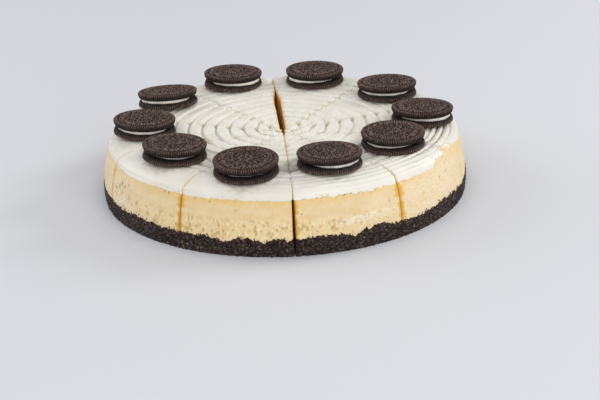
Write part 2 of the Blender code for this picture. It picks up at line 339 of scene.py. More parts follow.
def cut_distances(index, plan, layer):
    """How far each point lies from the two cut faces of its slice: the distance to the middle of
    the cut, less half its width there, in millimetres."""
    off = plan - HUB
    far = np.hypot(*off.T)
    found = []
    for cut, side in ((index, 1.0), (index + 1, -1.0)):
        along = cut_direction(cut)
        from_middle = side * (along[0] * off[:, 1] - along[1] * off[:, 0])
        share = far / np.linalg.norm(rim_spot(cut) - HUB)
        found.append(np.maximum(0.0, from_middle - half_gap(cut % SLICES, share, layer)))
    return found


def both_sides(index, cuts):
    """The number of each of a slice's two cuts, with the distances to it."""
    return (index, cuts[0]), ((index + 1) % SLICES, cuts[1])


def crowded(steps):
    """Even shares s from 0 to 1, moved by -CROWDING * sin(TURN * s), so that they lie closest
    together near both ends, where the cut edges are."""
    even = np.linspace(0.0, 1.0, steps + 1)
    return even - CROWDING * np.sin(TURN * even)


longest = max(float(slice_rays(index, np.array(0.5))[1]) for index in range(SLICES))
print("longest slice:", round(longest, 1), "mm")

# %% [markdown]
# ## A closed wedge
#
# A slice of any layer is a wedge: an upper surface, a curved outer side, two cut faces that meet
# in a sharp tip, and a base. It could be a cube that is bent and subdivided. It is made as one
# grid of points instead, across, outward and upward, of which only the skin is used. Surfaces
# that nobody sees, such as the crust's top under the filling, are closed with a plain fan.

# %% The wedge's faces
def grid_triangles(ids):
    """Two triangles for each cell of a grid of point numbers. They face the side from which the
    turn from the first direction to the second is anticlockwise."""
    a, b, c, d = ids[:-1, :-1], ids[1:, :-1], ids[1:, 1:], ids[:-1, 1:]
    return np.concatenate((np.stack((a, b, c), -1), np.stack((a, c, d), -1))).reshape(-1, 3)


def rim_loop(ids):
    """The point numbers round one level of a wedge: out, across and back to the tip."""
    return np.concatenate((ids[0, :], ids[1:, -1], ids[-1, -2:0:-1]))


def fan_triangles(loop, centre):
    """A fan from a closed loop of point numbers to a centre."""
    return np.stack((loop, np.roll(loop, -1), np.full(loop.size, centre)), -1)


def wedge(across, outward, upward, shown_top):
    """The skin of a wedge with these numbers of steps: its triangles, and which of them lie on the
    two cut faces. The tip is one line, and the fans' centres come after the grid."""
    side, row, level = np.meshgrid(
        np.arange(across + 1), np.arange(outward + 1), np.arange(upward + 1), indexing="ij"
    )
    ids = (np.where(row == 0, 0, side) * (outward + 1) + row) * (upward + 1) + level
    cuts = np.concatenate((grid_triangles(ids[0]), grid_triangles(ids[-1])[:, ::-1]))
    outer = grid_triangles(ids[:, -1])
    base = fan_triangles(rim_loop(ids[:, :, 0]), ids.size)[:, ::-1]
    if shown_top:
        top = grid_triangles(ids[:, :, -1])[:, ::-1]
    else:
        top = fan_triangles(rim_loop(ids[:, :, -1]), ids.size + 1)
    faces = np.concatenate((cuts, outer, base, top))
    a, b, c = faces.T
    real = (a != b) & (b != c) & (a != c)
    on_cut = np.arange(len(faces)) < len(cuts)
    return faces[real], on_cut[real]


wedge_faces, wedge_cuts = wedge(4, 3, 2, True)
print("a coarse wedge has", len(wedge_faces), "triangles,", wedge_cuts.sum(), "of them on its cuts")

# %% [markdown]
# ## From arrays to an object
#
# Blender can be handed a mesh as whole arrays, which is far quicker than adding points one by one.
# A piece sits at the origin with its place in its points. Each one takes over the look of a CAD
# solid and rides on the object's only body. A flow map carries the distance along a surface and
# the height, so that pores and streaks can follow it.

# %% Make a piece
SHARP_ABOVE = radians(50.0)


def new_mesh(name, points, faces):
    """A mesh from points in millimetres and triangles of point numbers."""
    mesh = bpy.data.meshes.new(name)
    mesh.vertices.add(len(points))
    mesh.vertices.foreach_set("co", (points * MM).astype(np.float32).ravel())
    mesh.loops.add(faces.size)
    mesh.loops.foreach_set("vertex_index", faces.astype(np.int32).ravel())
    mesh.polygons.add(len(faces))
    mesh.polygons.foreach_set("loop_start", np.arange(0, faces.size, 3, dtype=np.int32))
    mesh.update(calc_edges=True)
    mesh.polygons.foreach_set("use_smooth", np.ones(len(faces), dtype=bool))
    mesh.set_sharp_from_angle(angle=SHARP_ABOVE)
    return mesh


def add_values(mesh, **values):
    """Store one number per point under each name, for the material to read."""
    for name, numbers in values.items():
        layer = mesh.attributes.new(name, "FLOAT", "POINT")
        layer.data.foreach_set("value", np.asarray(numbers, dtype=np.float32))


def add_piece(name, mesh, finish, node=None):
    """Put a mesh into the scene as a piece of the cake, in place of a CAD node if one is named."""
    mesh.materials.append(finish)
    made = bpy.data.objects.new(name, mesh)
    bpy.context.scene.collection.objects.link(made)
    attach(made, "root")
    if node:
        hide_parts(node)


def used_only(points, faces, *values):
    """Drop the points that no triangle uses, and number the rest again."""
    used, numbered = np.unique(faces, return_inverse=True)
    return (points[used], numbered.reshape(faces.shape), *(value[used] for value in values))


# %% [markdown]
# ## Finishes as small node trees
#
# A material is a tree of nodes that ends in one Principled shader. Building each tree by hand takes
# many lines, so a few helpers add the nodes that every finish here needs: noise, a colour mix, a
# range change and a bump. Uniform numbers, such as the roughness of the cream, are set on the
# shader itself.

# %% Helpers for node trees
def new_finish(name, roughness, **numbers):
    """A material with one Principled shader and its uniform numbers."""
    made = bpy.data.materials.new(name)
    made.use_nodes = True
    tree = made.node_tree
    shader = tree.nodes["Principled BSDF"]
    shader.inputs["Roughness"].default_value = roughness
    for socket, value in numbers.items():
        shader.inputs[socket.replace("_", " ")].default_value = value
    return made, tree, shader


def feed(tree, socket, value):
    """Set a socket to a number or a colour, or link another node's output to it."""
    if isinstance(value, bpy.types.NodeSocket):
        tree.links.new(value, socket)
    elif isinstance(value, tuple) and len(value) == 3 and socket.type == "RGBA":
        socket.default_value = (*value, 1.0)
    else:
        socket.default_value = value


def place(tree):
    """The point's place on the object, in metres."""
    return tree.nodes.new("ShaderNodeTexCoord").outputs["Object"]


def flow(tree):
    """The flow map: distance along the surface and height, in metres."""
    node = tree.nodes.new("ShaderNodeUVMap")
    node.uv_map = "flow"
    return node.outputs["UV"]


def stretched(tree, vector, x, y):
    """A vector scaled by a different number in each of its first two directions."""
    node = tree.nodes.new("ShaderNodeMapping")
    feed(tree, node.inputs["Vector"], vector)
    node.inputs["Scale"].default_value = (x, y, 1.0)
    return node.outputs["Vector"]


def noise(tree, vector, per_metre, detail=2.0, rough=0.5):
    """Cloud noise with this many cells to the metre."""
    node = tree.nodes.new("ShaderNodeTexNoise")
    feed(tree, node.inputs["Vector"], vector)
    node.inputs["Scale"].default_value = per_metre
    node.inputs["Detail"].default_value = detail
    node.inputs["Roughness"].default_value = rough
    return node.outputs["Factor"] if "Factor" in node.outputs else node.outputs["Fac"]


def grains(tree, vector, per_metre, output="Distance"):
    """Voronoi cells, this many to the metre: the distance to a centre, or a colour per cell."""
    node = tree.nodes.new("ShaderNodeTexVoronoi")
    feed(tree, node.inputs["Vector"], vector)
    node.inputs["Scale"].default_value = per_metre
    return node.outputs[output]


def value_of(tree, name):
    """A number stored on the mesh under this name."""
    node = tree.nodes.new("ShaderNodeAttribute")
    node.attribute_name = name
    return node.outputs["Fac"]


def ranged(tree, value, low, high, to_low=0.0, to_high=1.0):
    """Change a value's range, holding it at both ends, with a smooth step between."""
    node = tree.nodes.new("ShaderNodeMapRange")
    node.interpolation_type = "SMOOTHSTEP"
    feed(tree, node.inputs["Value"], value)
    limits = {"From Min": low, "From Max": high, "To Min": to_low, "To Max": to_high}
    for name, number in limits.items():
        node.inputs[name].default_value = number
    return node.outputs["Result"]


def product(tree, one, two):
    """Two values multiplied."""
    node = tree.nodes.new("ShaderNodeMath")
    node.operation = "MULTIPLY"
    feed(tree, node.inputs[0], one)
    feed(tree, node.inputs[1], two)
    return node.outputs[0]


def colour_socket(sockets, name):
    """The colour socket of this name, among a Mix node's sockets of other kinds."""
    return next(item for item in sockets if item.name == name and item.type == "RGBA")


def mixed(tree, share, one, two):
    """A mix of two colours: the first at share 0, the second at share 1."""
    node = tree.nodes.new("ShaderNodeMix")
    node.data_type = "RGBA"
    feed(tree, node.inputs["Factor"], share)
    feed(tree, colour_socket(node.inputs, "A"), one)
    feed(tree, colour_socket(node.inputs, "B"), two)
    return colour_socket(node.outputs, "Result")


def bumped(tree, height, depth_mm, strength=1.0, under=None):
    """A bump whose full height is this many millimetres, on top of another bump if one is given."""
    node = tree.nodes.new("ShaderNodeBump")
    feed(tree, node.inputs["Height"], height)
    node.inputs["Strength"].default_value = strength
    node.inputs["Distance"].default_value = depth_mm * MM
    if under:
        feed(tree, node.inputs["Normal"], under)
    return node.outputs["Normal"]


# %% [markdown]
# ## The crumb crust
#
# The crust is crushed dark biscuit, pressed into the tin with melted butter. It is almost black,
# with grey single crumbs, whose grey is partly their own and partly a painted glint, and a few tan
# specks of cake crumb. Its lumps are a millimetre or two across. They could be a texture alone, but
# the crust's edge is seen against the table, so pebble noise moves the surface as well, and the
# material adds only what is finer than the mesh.

# %% The crust's finish
CRUMB_DARKEST = (0.0045, 0.0025, 0.0021)
CRUMB_DARK = (0.024, 0.0135, 0.0105)
CRUMB_GREY_AND_GLINT = (0.115, 0.078, 0.066)
CRUMB_TAN = (0.30, 0.20, 0.12)
CRUMB_BROWN = (0.085, 0.030, 0.018)
CRUMBS_PER_METRE = 1050.0


def make_crust_finish():
    """Dark crumbs, each cell of a Voronoi pattern in its own shade: some grey, partly a painted
    glint, very few tan, and brown ones along the upper edge. The bump adds lumps and a fine grit."""
    finish, tree, shader = new_finish("crust_crumb", 0.5, Specular_IOR_Level=0.25)
    spot = place(tree)
    hue = tree.nodes.new("ShaderNodeSeparateColor")
    feed(tree, hue.inputs["Color"], grains(tree, spot, CRUMBS_PER_METRE, "Color"))
    dark = mixed(tree, hue.outputs["Red"], CRUMB_DARKEST, CRUMB_DARK)
    # grey crumbs, partly their own grey and partly a painted glint
    base = mixed(tree, ranged(tree, hue.outputs["Green"], 0.6, 1.0), dark, CRUMB_GREY_AND_GLINT)
    base = mixed(tree, ranged(tree, hue.outputs["Blue"], 0.992, 0.996), base, CRUMB_TAN)
    fringe = product(tree, value_of(tree, "fringe"), ranged(tree, hue.outputs["Red"], 0.2, 0.6))
    base = mixed(tree, product(tree, fringe, 0.6), base, CRUMB_BROWN)
    feed(tree, shader.inputs["Base Color"], base)
    lumps = bumped(tree, grains(tree, spot, 620.0), -0.6, 0.9)
    fine = bumped(tree, noise(tree, spot, 2200.0, 3.0, 0.7), 0.25, 0.9, lumps)
    feed(tree, shader.inputs["Normal"], fine)
    return finish


crust_finish = make_crust_finish()
print("crust finish has", len(crust_finish.node_tree.nodes), "nodes")

# %% Points of a crust or filling slice
LAYER_TURN = 0.92
TEAR = 0.7


def slice_grid(steps, shown_top):
    """What the slices of a layer share: triangles, which of them lie on the cuts, and for each
    grid point its share across, its row and its level. The tip counts as halfway across."""
    across, outward, upward = steps
    faces, on_cut = wedge(across, outward, upward, shown_top)
    number = np.arange((across + 1) * (outward + 1) * (upward + 1))
    level = number % (upward + 1)
    row = number // (upward + 1) % (outward + 1)
    side = number // ((upward + 1) * (outward + 1))
    return faces, on_cut, np.where(row == 0, 0.5, crowded(across)[side]), row, level


def grooves(index, cuts, widths):
    """How far the side is torn back beside the two cuts: at each, the groove's width times
    TEAR (1 - distance / width)^2."""
    pull = 0.0
    for cut, away in both_sides(index, cuts):
        width = widths[cut]
        pull = pull + TEAR * width * np.clip(1.0 - away / width, 0.0, 1.0) ** 2
    return pull


def layer_points(index, steps, inner, edge, relief, layer, widths):
    """Points of a slice: level inside, from LAYER_TURN on bent to the heights that edge(angle)
    gives, and at the side moved out by relief(arc, height) and back by the grooves."""
    faces, on_cut, across, row, level = slice_grid(steps, False)
    direction, full, angle = slice_rays(index, across)
    arc = angle * WIDEST_RADIUS
    rise = level / steps[2]
    low, high = edge(angle)
    edge_height = low + (high - low) * rise
    cuts = cut_distances(index, slice_plan(index, across, full, layer), layer)
    torn = grooves(index, cuts, widths)
    reach = circle_distance(direction, outer_radius(edge_height) + relief(arc, edge_height) - torn)
    share = row / steps[1]
    distance = reach * (TIP_SHARE + (1.0 - TIP_SHARE) * share)
    turn = np.clip((share - LAYER_TURN) / (1.0 - LAYER_TURN), 0.0, 1.0)
    level_height = inner[0] + (inner[1] - inner[0]) * rise
    height = level_height + (edge_height - level_height) * turn
    plan = slice_plan(index, across, distance, layer)
    middle = plan.mean(axis=0)
    fans = np.array([(*middle, inner[0]), (*middle, inner[1])])
    points = np.concatenate((np.column_stack((plan, height)), fans))
    return points, faces, on_cut, arc, distance


def padded(values):
    """The same values with two more for the fans' centres."""
    return np.concatenate((values, values[:2]))


def add_layer(name, points, faces, on_cut, arc, distance, finish, slot, node, **values):
    """Make a slice's mesh with its flow map and its named values, and put it in. The flow map runs
    round the cake on the side, and out from the hub on the cuts."""
    columns = [padded(arc), padded(distance)] + [padded(value) for value in values.values()]
    points, faces, arc, distance, *kept = used_only(points, faces, *columns)
    mesh = new_mesh(name, points, faces)
    along = np.where(on_cut[:, None], distance[faces], arc[faces])
    pairs = np.stack((along, points[:, 2][faces]), axis=-1) * MM
    mesh.uv_layers.new(name="flow").data.foreach_set("uv", pairs.astype(np.float32).ravel())
    add_values(mesh, **dict(zip(values, kept)))
    add_piece(name, mesh, finish, node)


# %% The crust's slices
CRUST_STEPS = (150, 12, 22)
CRUST_CLOSED = (0.05, 0.12, 0.35)
CRUST_GROOVES = (0.6, 0.5, 0.6, 0.5, 0.5, 0.7, 0.5, 0.5, 0.5, 0.5)
FRINGE_HEIGHT = 1.6


def crumb_lumps(arc, height):
    """Crumbs of two sizes, 2.3 mm and 1.1 mm across, from pebble noise less its mean."""
    large = pebbles(arc / 2.3, height / 2.1, 21) - 0.45
    small = pebbles(arc / 1.1, height / 1.0, 22) - 0.5
    return 1.5 * large + 0.8 * small


for index in range(SLICES):
    number = f"{index + 1:02d}"
    points, faces, on_cut, arc, distance = layer_points(
        index,
        CRUST_STEPS,
        (0.0, CRUST_HEIGHT),
        lambda angle: (0.0 * angle, crumb_line(angle)),
        crumb_lumps,
        CRUST_CLOSED,
        CRUST_GROOVES,
    )
    top = crumb_line(arc / WIDEST_RADIUS)
    fringe = np.clip(1.0 - (top - points[:-2, 2]) / FRINGE_HEIGHT, 0.0, 1.0)
    add_layer(
        f"crumb_crust_{number}", points, faces, on_cut, arc, distance,
        crust_finish, "crust", f"crust_{number}", fringe=fringe,
    )
print("a crust slice has", len(faces), "triangles")

# %% [markdown]
# ## The baked filling
#
# The filling is a pale, warm curd. Under the cream it baked to a golden band, and lower down steam
# left many small upright pores, whose dark insides are painted shade. The tin and the knife dragged
# fine streaks into it. Where the knife cut, the rim is torn into a groove that glows amber, because
# light sinks into the curd; that glow is painted into the colour, with painted shade on the cut's
# edge. The pores and streaks follow the side, so they use the flow map, and the bands use the
# height below the cream line, which is stored on the points. Larger holes, painted as dark shade,
# and amber blots are set one by one.

# %% The filling's finish
CURD = (0.78, 0.585, 0.31)
CURD_LIGHT = (0.82, 0.65, 0.39)
CURD_GOLDEN = (0.80, 0.555, 0.205)
CURD_FLECK = (0.81, 0.57, 0.20)
CURD_LOW = (0.83, 0.66, 0.37)
CURD_SMEAR = (0.90, 0.83, 0.69)
PORE_RIM = (0.92, 0.77, 0.44)
# painted shade inside the pores and the larger holes
PORE_PAINTED_SHADE = (0.56, 0.37, 0.09)
HOLE_PAINTED_SHADE = (0.17, 0.115, 0.055)
# the amber of the blots and of the painted glow beside the cuts
AMBER_AND_PAINTED_GLOW = (0.76, 0.42, 0.06)
# painted shade on a cut's very edge, darker than the glow
AMBER_PAINTED_SHADE = (0.36, 0.17, 0.03)


def filling_colour(tree, along):
    """The curd's colour, one mix over the other: drifting shades, the golden band under the cream
    with wisps, flecks, the paler foot over the crust, and what the knife smeared."""
    drift = noise(tree, stretched(tree, along, 1.0, 2.6), 60.0, 3.0, 0.55)
    base = mixed(tree, ranged(tree, drift, 0.35, 0.65), CURD, CURD_LIGHT)
    golden = ranged(tree, value_of(tree, "below"), 5.2, 0.3)
    wisps = noise(tree, stretched(tree, along, 1.0, 0.35), 330.0, 3.0)
    golden = product(tree, golden, ranged(tree, wisps, 0.35, 0.6, 0.55, 1.0))
    base = mixed(tree, golden, base, CURD_GOLDEN)
    flecks = noise(tree, stretched(tree, along, 1.0, 0.6), 300.0, 2.0)
    base = mixed(tree, product(tree, ranged(tree, flecks, 0.60, 0.68), 0.5), base, CURD_FLECK)
    pale = ranged(tree, value_of(tree, "above"), 11.0, 1.0)
    base = mixed(tree, product(tree, pale, 0.6), base, CURD_LOW)
    scraped = noise(tree, stretched(tree, along, 0.4, 1.5), 620.0, 3.0, 0.6)
    smear = product(tree, value_of(tree, "smear"), ranged(tree, scraped, 0.36, 0.58))
    return mixed(tree, smear, base, CURD_SMEAR)


def make_filling_finish():
    """The curd's colour with pale-rimmed pores in clusters, with painted shade inside them, larger
    holes painted as dark shade, and amber blots and a painted amber glow beside the cuts, with
    painted shade on their edge, over it, and a bump of pores, upright drag streaks and a fine
    grain."""
    finish, tree, shader = new_finish("baked_filling", 0.5, Specular_IOR_Level=0.35)
    shader.inputs["Subsurface Weight"].default_value = 0.12
    shader.inputs["Subsurface Scale"].default_value = 0.002
    shader.inputs["Subsurface Radius"].default_value = (1.0, 0.6, 0.25)
    along = flow(tree)
    base = filling_colour(tree, along)
    upright = stretched(tree, along, 1.0, 0.55)
    pores = ranged(tree, grains(tree, upright, 540.0), 0.50, 0.27)
    clusters = ranged(tree, noise(tree, along, 170.0, 3.0), 0.44, 0.58)
    zone = value_of(tree, "porous")
    pores = product(tree, product(tree, pores, clusters), zone)
    rims = product(tree, ranged(tree, noise(tree, upright, 620.0, 2.0), 0.47, 0.62), zone)
    base = mixed(tree, product(tree, rims, 0.75), base, PORE_RIM)
    # painted shade inside the pores and the holes
    base = mixed(tree, product(tree, pores, 0.75), base, PORE_PAINTED_SHADE)
    base = mixed(tree, value_of(tree, "painted_hole_shade"), base, HOLE_PAINTED_SHADE)
    # amber blots and the painted glow beside the cuts, turning to painted shade on a cut's very
    # edge
    amber = value_of(tree, "amber")
    base = mixed(tree, amber, base, AMBER_AND_PAINTED_GLOW)
    base = mixed(tree, ranged(tree, amber, 0.94, 1.0, 0.0, 0.8), base, AMBER_PAINTED_SHADE)
    feed(tree, shader.inputs["Base Color"], base)
    holes = bumped(tree, product(tree, pores, -1.0), 0.5, 1.0)
    streaks = noise(tree, stretched(tree, along, 1.0, 0.2), 900.0, 3.0, 0.6)
    drag = bumped(tree, streaks, 0.16, 0.8, holes)
    grain = noise(tree, place(tree), 1500.0, 3.0, 0.6)
    feed(tree, shader.inputs["Normal"], bumped(tree, grain, 0.08, 0.8, drag))
    return finish


filling_finish = make_filling_finish()
print("filling finish has", len(filling_finish.node_tree.nodes), "nodes")

# %% What marks the filling's side
FILLING_CLOSED = (0.02, 0.3, 0.6)

# For each cut, the painted amber glow beside it: its strength on the slice after it and on the
# slice before it, its width in millimetres, and by what share it widens in a blob under the cream.
PAINTED_GLOW_CUTS = (
    (1.0, 0.3, 1.5, 0.3), (0.98, 0.98, 2.2, 0.35), (0.2, 0.2, 0.5, 0.0), (0.5, 0.5, 0.5, 0.5),
    (0.5, 0.5, 0.5, 0.5), (0.15, 0.15, 0.5, 0.0), (0.5, 0.5, 0.5, 0.5), (0.6, 0.6, 0.6, 0.5),
    (0.9, 0.8, 1.1, 0.6), (0.98, 1.0, 1.8, 0.3),
)
BLOB_BELOW = 6.0
BLOB_HEIGHT = 4.0

# For each hole, painted as dark shade, and each amber blot: its degrees round the cake, its
# height, and half its width and height.
PAINTED_HOLES = (
    (-151.0, 30.0, 1.1, 1.5), (-152.6, 27.0, 1.0, 1.4), (-149.2, 28.6, 0.8, 1.0),
    (-155.0, 24.6, 1.3, 1.0), (-147.0, 31.2, 0.6, 0.8), (-128.2, 36.6, 0.5, 0.9),
    (-130.0, 36.9, 0.5, 0.8), (-118.5, 36.4, 0.4, 0.8), (-113.5, 35.8, 0.5, 0.6),
    (-105.0, 31.5, 0.5, 0.7), (-86.0, 29.0, 0.4, 0.6), (-57.8, 28.2, 0.4, 0.6),
    (-34.5, 29.5, 0.5, 0.9), (-30.0, 30.5, 0.4, 0.6), (118.0, 24.0, 0.8, 1.1),
    (60.0, 28.0, 0.6, 1.0),
)
BLOTS = (
    (-146.0, 23.0, 0.9, 1.7), (-141.5, 22.0, 1.0, 1.5), (-131.0, 20.5, 0.8, 1.8),
    (-136.5, 17.5, 0.7, 1.2), (-117.0, 19.0, 0.8, 1.5), (-110.0, 21.0, 0.7, 1.1),
    (-101.0, 18.0, 0.7, 1.3), (-80.5, 20.0, 0.8, 1.4), (-77.0, 18.5, 0.7, 1.1),
    (-74.5, 24.0, 0.5, 0.9), (-44.0, 25.0, 0.6, 1.0),
)
RIGHT_SMEAR = (-67.0, 21.5, 19.0, 2.0, 0.06)
LEFT_SMEAR = (-150.0, 18.0, 12.0, 3.0)


def patch(arc, height, degrees, level, half_arc, half_height, slope=0.0):
    """A soft-edged oval on the side, half_arc by half_height millimetres, of height 1."""
    x = (arc / WIDEST_RADIUS - radians(degrees) + pi) % TURN - pi
    x = x * WIDEST_RADIUS
    y = height - level - slope * x
    return np.exp(-((x / half_arc) ** 2) - (y / half_height) ** 2)


def amber_glow(away, wide):
    """The painted amber glow beside a cut, for light scattered in the curd: nearly even up to its
    width, and strongest on the cut's edge.
    """
    return 0.92 * bell(away, wide, 8) + 0.08 * bell(away, 0.4 * wide)


def filling_values(index, arc, points):
    """What the finish reads at each point: how far it lies below the cream line and above the
    crumb line, and from 0 to 1 the smears, the painted shade of the holes and of the front cut's
    gap, the pores, and the amber of the blots and of the painted glow beside the cuts there."""
    height = points[:, 2]
    angle = arc / WIDEST_RADIUS
    below = cream_line(angle) - height
    torn = cloud(arc / 1.0, height / 2.5, 0.5, 33)
    ragged = np.maximum(1.1 + 1.1 * cloud(height / 2.0, 0.5, 0.5, 34), 0.3)
    smear = patch(arc, height, *RIGHT_SMEAR) + 0.6 * patch(arc, height, *LEFT_SMEAR)
    smear = 1.9 * smear * (0.7 + 0.8 * torn)
    smear = smear + 0.45 * hump(angle, -36.0, 26.0) + 0.4 * hump(angle, -160.0, 22.0)
    porous = 0.7 + 0.3 * hump(angle, -105.0, 32.0) - 0.6 * hump(angle, -40.0, 28.0)
    porous = porous * np.clip((27.0 - height) / 4.0, 0.12, 1.0)
    # painted shade standing for the larger holes, and a little in the blots
    painted_hole_shade = sum(patch(arc, height, *spot) for spot in PAINTED_HOLES)
    painted_hole_shade = np.clip(painted_hole_shade * (1.1 + 0.8 * torn), 0.0, 1.0) * 0.85
    blots = sum(patch(arc, height, *spot) for spot in BLOTS)
    blots = np.clip(blots * (1.0 + 0.9 * torn), 0.0, 1.0)
    painted_hole_shade = np.maximum(painted_hole_shade, 0.3 * blots)
    amber = 0.9 * blots
    cuts = cut_distances(index, points[:, :2], FILLING_CLOSED)
    # the painted amber glow beside each cut, standing for light scattered in the curd
    for side, (cut, away) in enumerate(both_sides(index, cuts)):
        row = PAINTED_GLOW_CUTS[cut]
        wide = row[2] * (1.0 + row[3] * bell(below - BLOB_BELOW, BLOB_HEIGHT)) * ragged
        amber = amber + row[side] * amber_glow(away, wide)
        # painted shade in the front cut's open gap
        if cut == index == FRONT_CUT:
            painted_hole_shade = np.maximum(painted_hole_shade, 0.95 * bell(away, 0.55 * wide, 4))
    heights = {
        "below": below * (1.0 - 0.6 * hump(angle, -19.0, 11.0)),
        "above": height - crumb_line(angle),
    }
    marks = {"smear": smear, "painted_hole_shade": painted_hole_shade, "porous": porous, "amber": amber}
    return heights | {name: np.clip(mark, 0.0, 1.0) for name, mark in marks.items()}


print("the side has", len(PAINTED_HOLES), "holes and", len(BLOTS), "blots")

# %% The filling's slices
FILLING_STEPS = (140, 16, 40)
FILLING_GROOVES = (1.3, 1.3, 0.3, 0.5, 0.5, 1.2, 0.5, 0.6, 0.9, 1.1)


def filling_relief(arc, height):
    """Soft swells a few millimetres across, and upright streaks."""
    swells = 0.16 * cloud(arc / 6.0, height / 3.0, 0.5, 31)
    streaks = 0.10 * cloud(arc / 1.2, height / 6.0, 0.5, 32)
    return swells + streaks


for index in range(SLICES):
    number = f"{index + 1:02d}"
    points, faces, on_cut, arc, distance = layer_points(
        index,
        FILLING_STEPS,
        (CRUST_HEIGHT, FILLING_HEIGHT),
        lambda angle: (crumb_line(angle), cream_line(angle)),
        filling_relief,
        FILLING_CLOSED,
        FILLING_GROOVES,
    )
    add_layer(
        f"baked_filling_{number}", points, faces, on_cut, arc, distance,
        filling_finish, "filling", f"filling_{number}", **filling_values(index, arc, points[:-2]),
    )
print("a filling slice has", len(faces), "triangles")

# %% [markdown]
# ## The biscuits' places
#
# A biscuit lies on each slice, and each leans its own way, because it was pressed into soft
# cream by hand. The places come from the CAD model. They are needed now, since the cream is
# pressed down under each one.

# %% Where the biscuits lie
BISCUIT_RADIUS = 22.0
BISCUIT_BASE = 47.4

# For each biscuit: its radius and degrees round the cake, and its lean to the right and back.
BISCUITS = (
    (93.6, -71.3, 0.0, 2.4), (92.5, -36.1, 0.2, -0.5), (99.3, -3.4, 1.0, 3.0),
    (94.4, 34.0, -0.3, 3.0), (94.5, 74.2, 0.4, 1.3), (98.2, 112.0, 1.1, 2.2),
    (98.9, 148.7, -1.7, 7.0), (98.6, 184.7, 2.3, 1.8), (96.6, 219.5, 2.9, 1.3),
    (99.2, 255.1, -0.3, -2.4),
)


def biscuit_frame(index):
    """A biscuit's base centre in millimetres, and the unit vector square to its base."""
    ring, degrees, lean_right, lean_back = BISCUITS[index]
    normal = Vector((tan(radians(lean_right)), tan(radians(lean_back)), 1.0)).normalized()
    angle = radians(degrees)
    return Vector((ring * cos(angle), ring * sin(angle), BISCUIT_BASE)), normal


def under_biscuits(x, y, height, clear):
    """Press a height field down below every biscuit's base plane, within its rim and a little
    more, where the cream slopes up again."""
    for index in range(SLICES):
        base, normal = biscuit_frame(index)
        off_x = x - base.x
        off_y = y - base.y
        plane = base.z - clear - (off_x * normal.x + off_y * normal.y) / normal.z
        beyond = np.clip(np.hypot(off_x, off_y) - BISCUIT_RADIUS, 0.0, None)
        height = np.minimum(height, plane + 0.35 * beyond**1.5)
    return height


def biscuit_rims(x, y):
    """How far a point lies outside the nearest biscuit's rim, in plan."""
    bases = [biscuit_frame(index)[0] for index in range(SLICES)]
    away = [np.hypot(x - base.x, y - base.y) - BISCUIT_RADIUS for base in bases]
    return np.clip(np.min(away, axis=0), 0.0, None)


print("biscuits:", [tuple(round(v, 1) for v in biscuit_frame(i)[0]) for i in range(3)], "...")

# %% [markdown]
# ## The combed cream
#
# A toothed comb was turned on the cream, so rings run round a point near the middle: rounded bands
# with narrow valleys. Fine strands follow the rings, the knife left a row of small notches along
# each cut, and the edge is smoothed over by a palette knife. The rings are a formula of the
# distance from the comb's centre. On the shoulder the surface moves along its own slope.

# %% The cream's finish
CREAM_WARM = (0.80, 0.765, 0.685)
CREAM_WHITE = (0.85, 0.825, 0.755)
# painted shade in the creases of the combing and the knife's lines
CREAM_PAINTED_CREASE_SHADE = (0.46, 0.425, 0.35)
CREAM_STAIN = (0.72, 0.57, 0.24)
# crumb dust mixed with painted shade
CREAM_DUST_AND_SHADE = (0.40, 0.37, 0.33)
# painted amber glow on the cream's cut edges
CREAM_PAINTED_GLOW = (0.86, 0.47, 0.12)


def make_cream_finish():
    """White cream that drifts to a warmer shade, with painted shade in the creases of the valleys,
    curd stains, painted shade and crumb dust in the gutters, notches and round the biscuits, and a
    painted amber glow on the cut edges over it, and a bump of creases, soft lumps and a fine grain."""
    finish, tree, shader = new_finish("combed_cream", 0.42, Specular_IOR_Level=0.4)
    shader.inputs["Subsurface Weight"].default_value = 0.15
    shader.inputs["Subsurface Scale"].default_value = 0.002
    shader.inputs["Subsurface Radius"].default_value = (1.0, 0.85, 0.6)
    spot = place(tree)
    drift = ranged(tree, noise(tree, spot, 45.0, 3.0), 0.35, 0.65)
    base = mixed(tree, drift, CREAM_WARM, CREAM_WHITE)
    to_valley = tree.nodes.new("ShaderNodeMath")
    to_valley.operation = "PINGPONG"
    feed(tree, to_valley.inputs[0], value_of(tree, "phase"))
    to_valley.inputs[1].default_value = 0.5
    # painted shade in the creases
    crease = product(tree, ranged(tree, to_valley.outputs[0], 0.11, 0.0), value_of(tree, "painted_crease_shade"))
    base = mixed(tree, product(tree, crease, 0.6), base, CREAM_PAINTED_CREASE_SHADE)
    base = mixed(tree, value_of(tree, "tint"), base, CREAM_STAIN)
    # painted shade in the gutters and notches, and crumb dust with painted shade round the biscuits
    base = mixed(tree, value_of(tree, "dust_and_painted_shade"), base, CREAM_DUST_AND_SHADE)
    # painted amber glow on the cut edges
    base = mixed(tree, value_of(tree, "amber"), base, CREAM_PAINTED_GLOW)
    feed(tree, shader.inputs["Base Color"], base)
    sunk = bumped(tree, crease, -0.7, 0.8)
    soft = bumped(tree, noise(tree, spot, 420.0, 3.0, 0.55), 0.14, 0.8, sunk)
    grain = bumped(tree, noise(tree, spot, 1800.0, 2.0), 0.03, 0.7, soft)
    feed(tree, shader.inputs["Normal"], grain)
    return finish


cream_finish = make_cream_finish()
print("cream finish has", len(cream_finish.node_tree.nodes), "nodes")

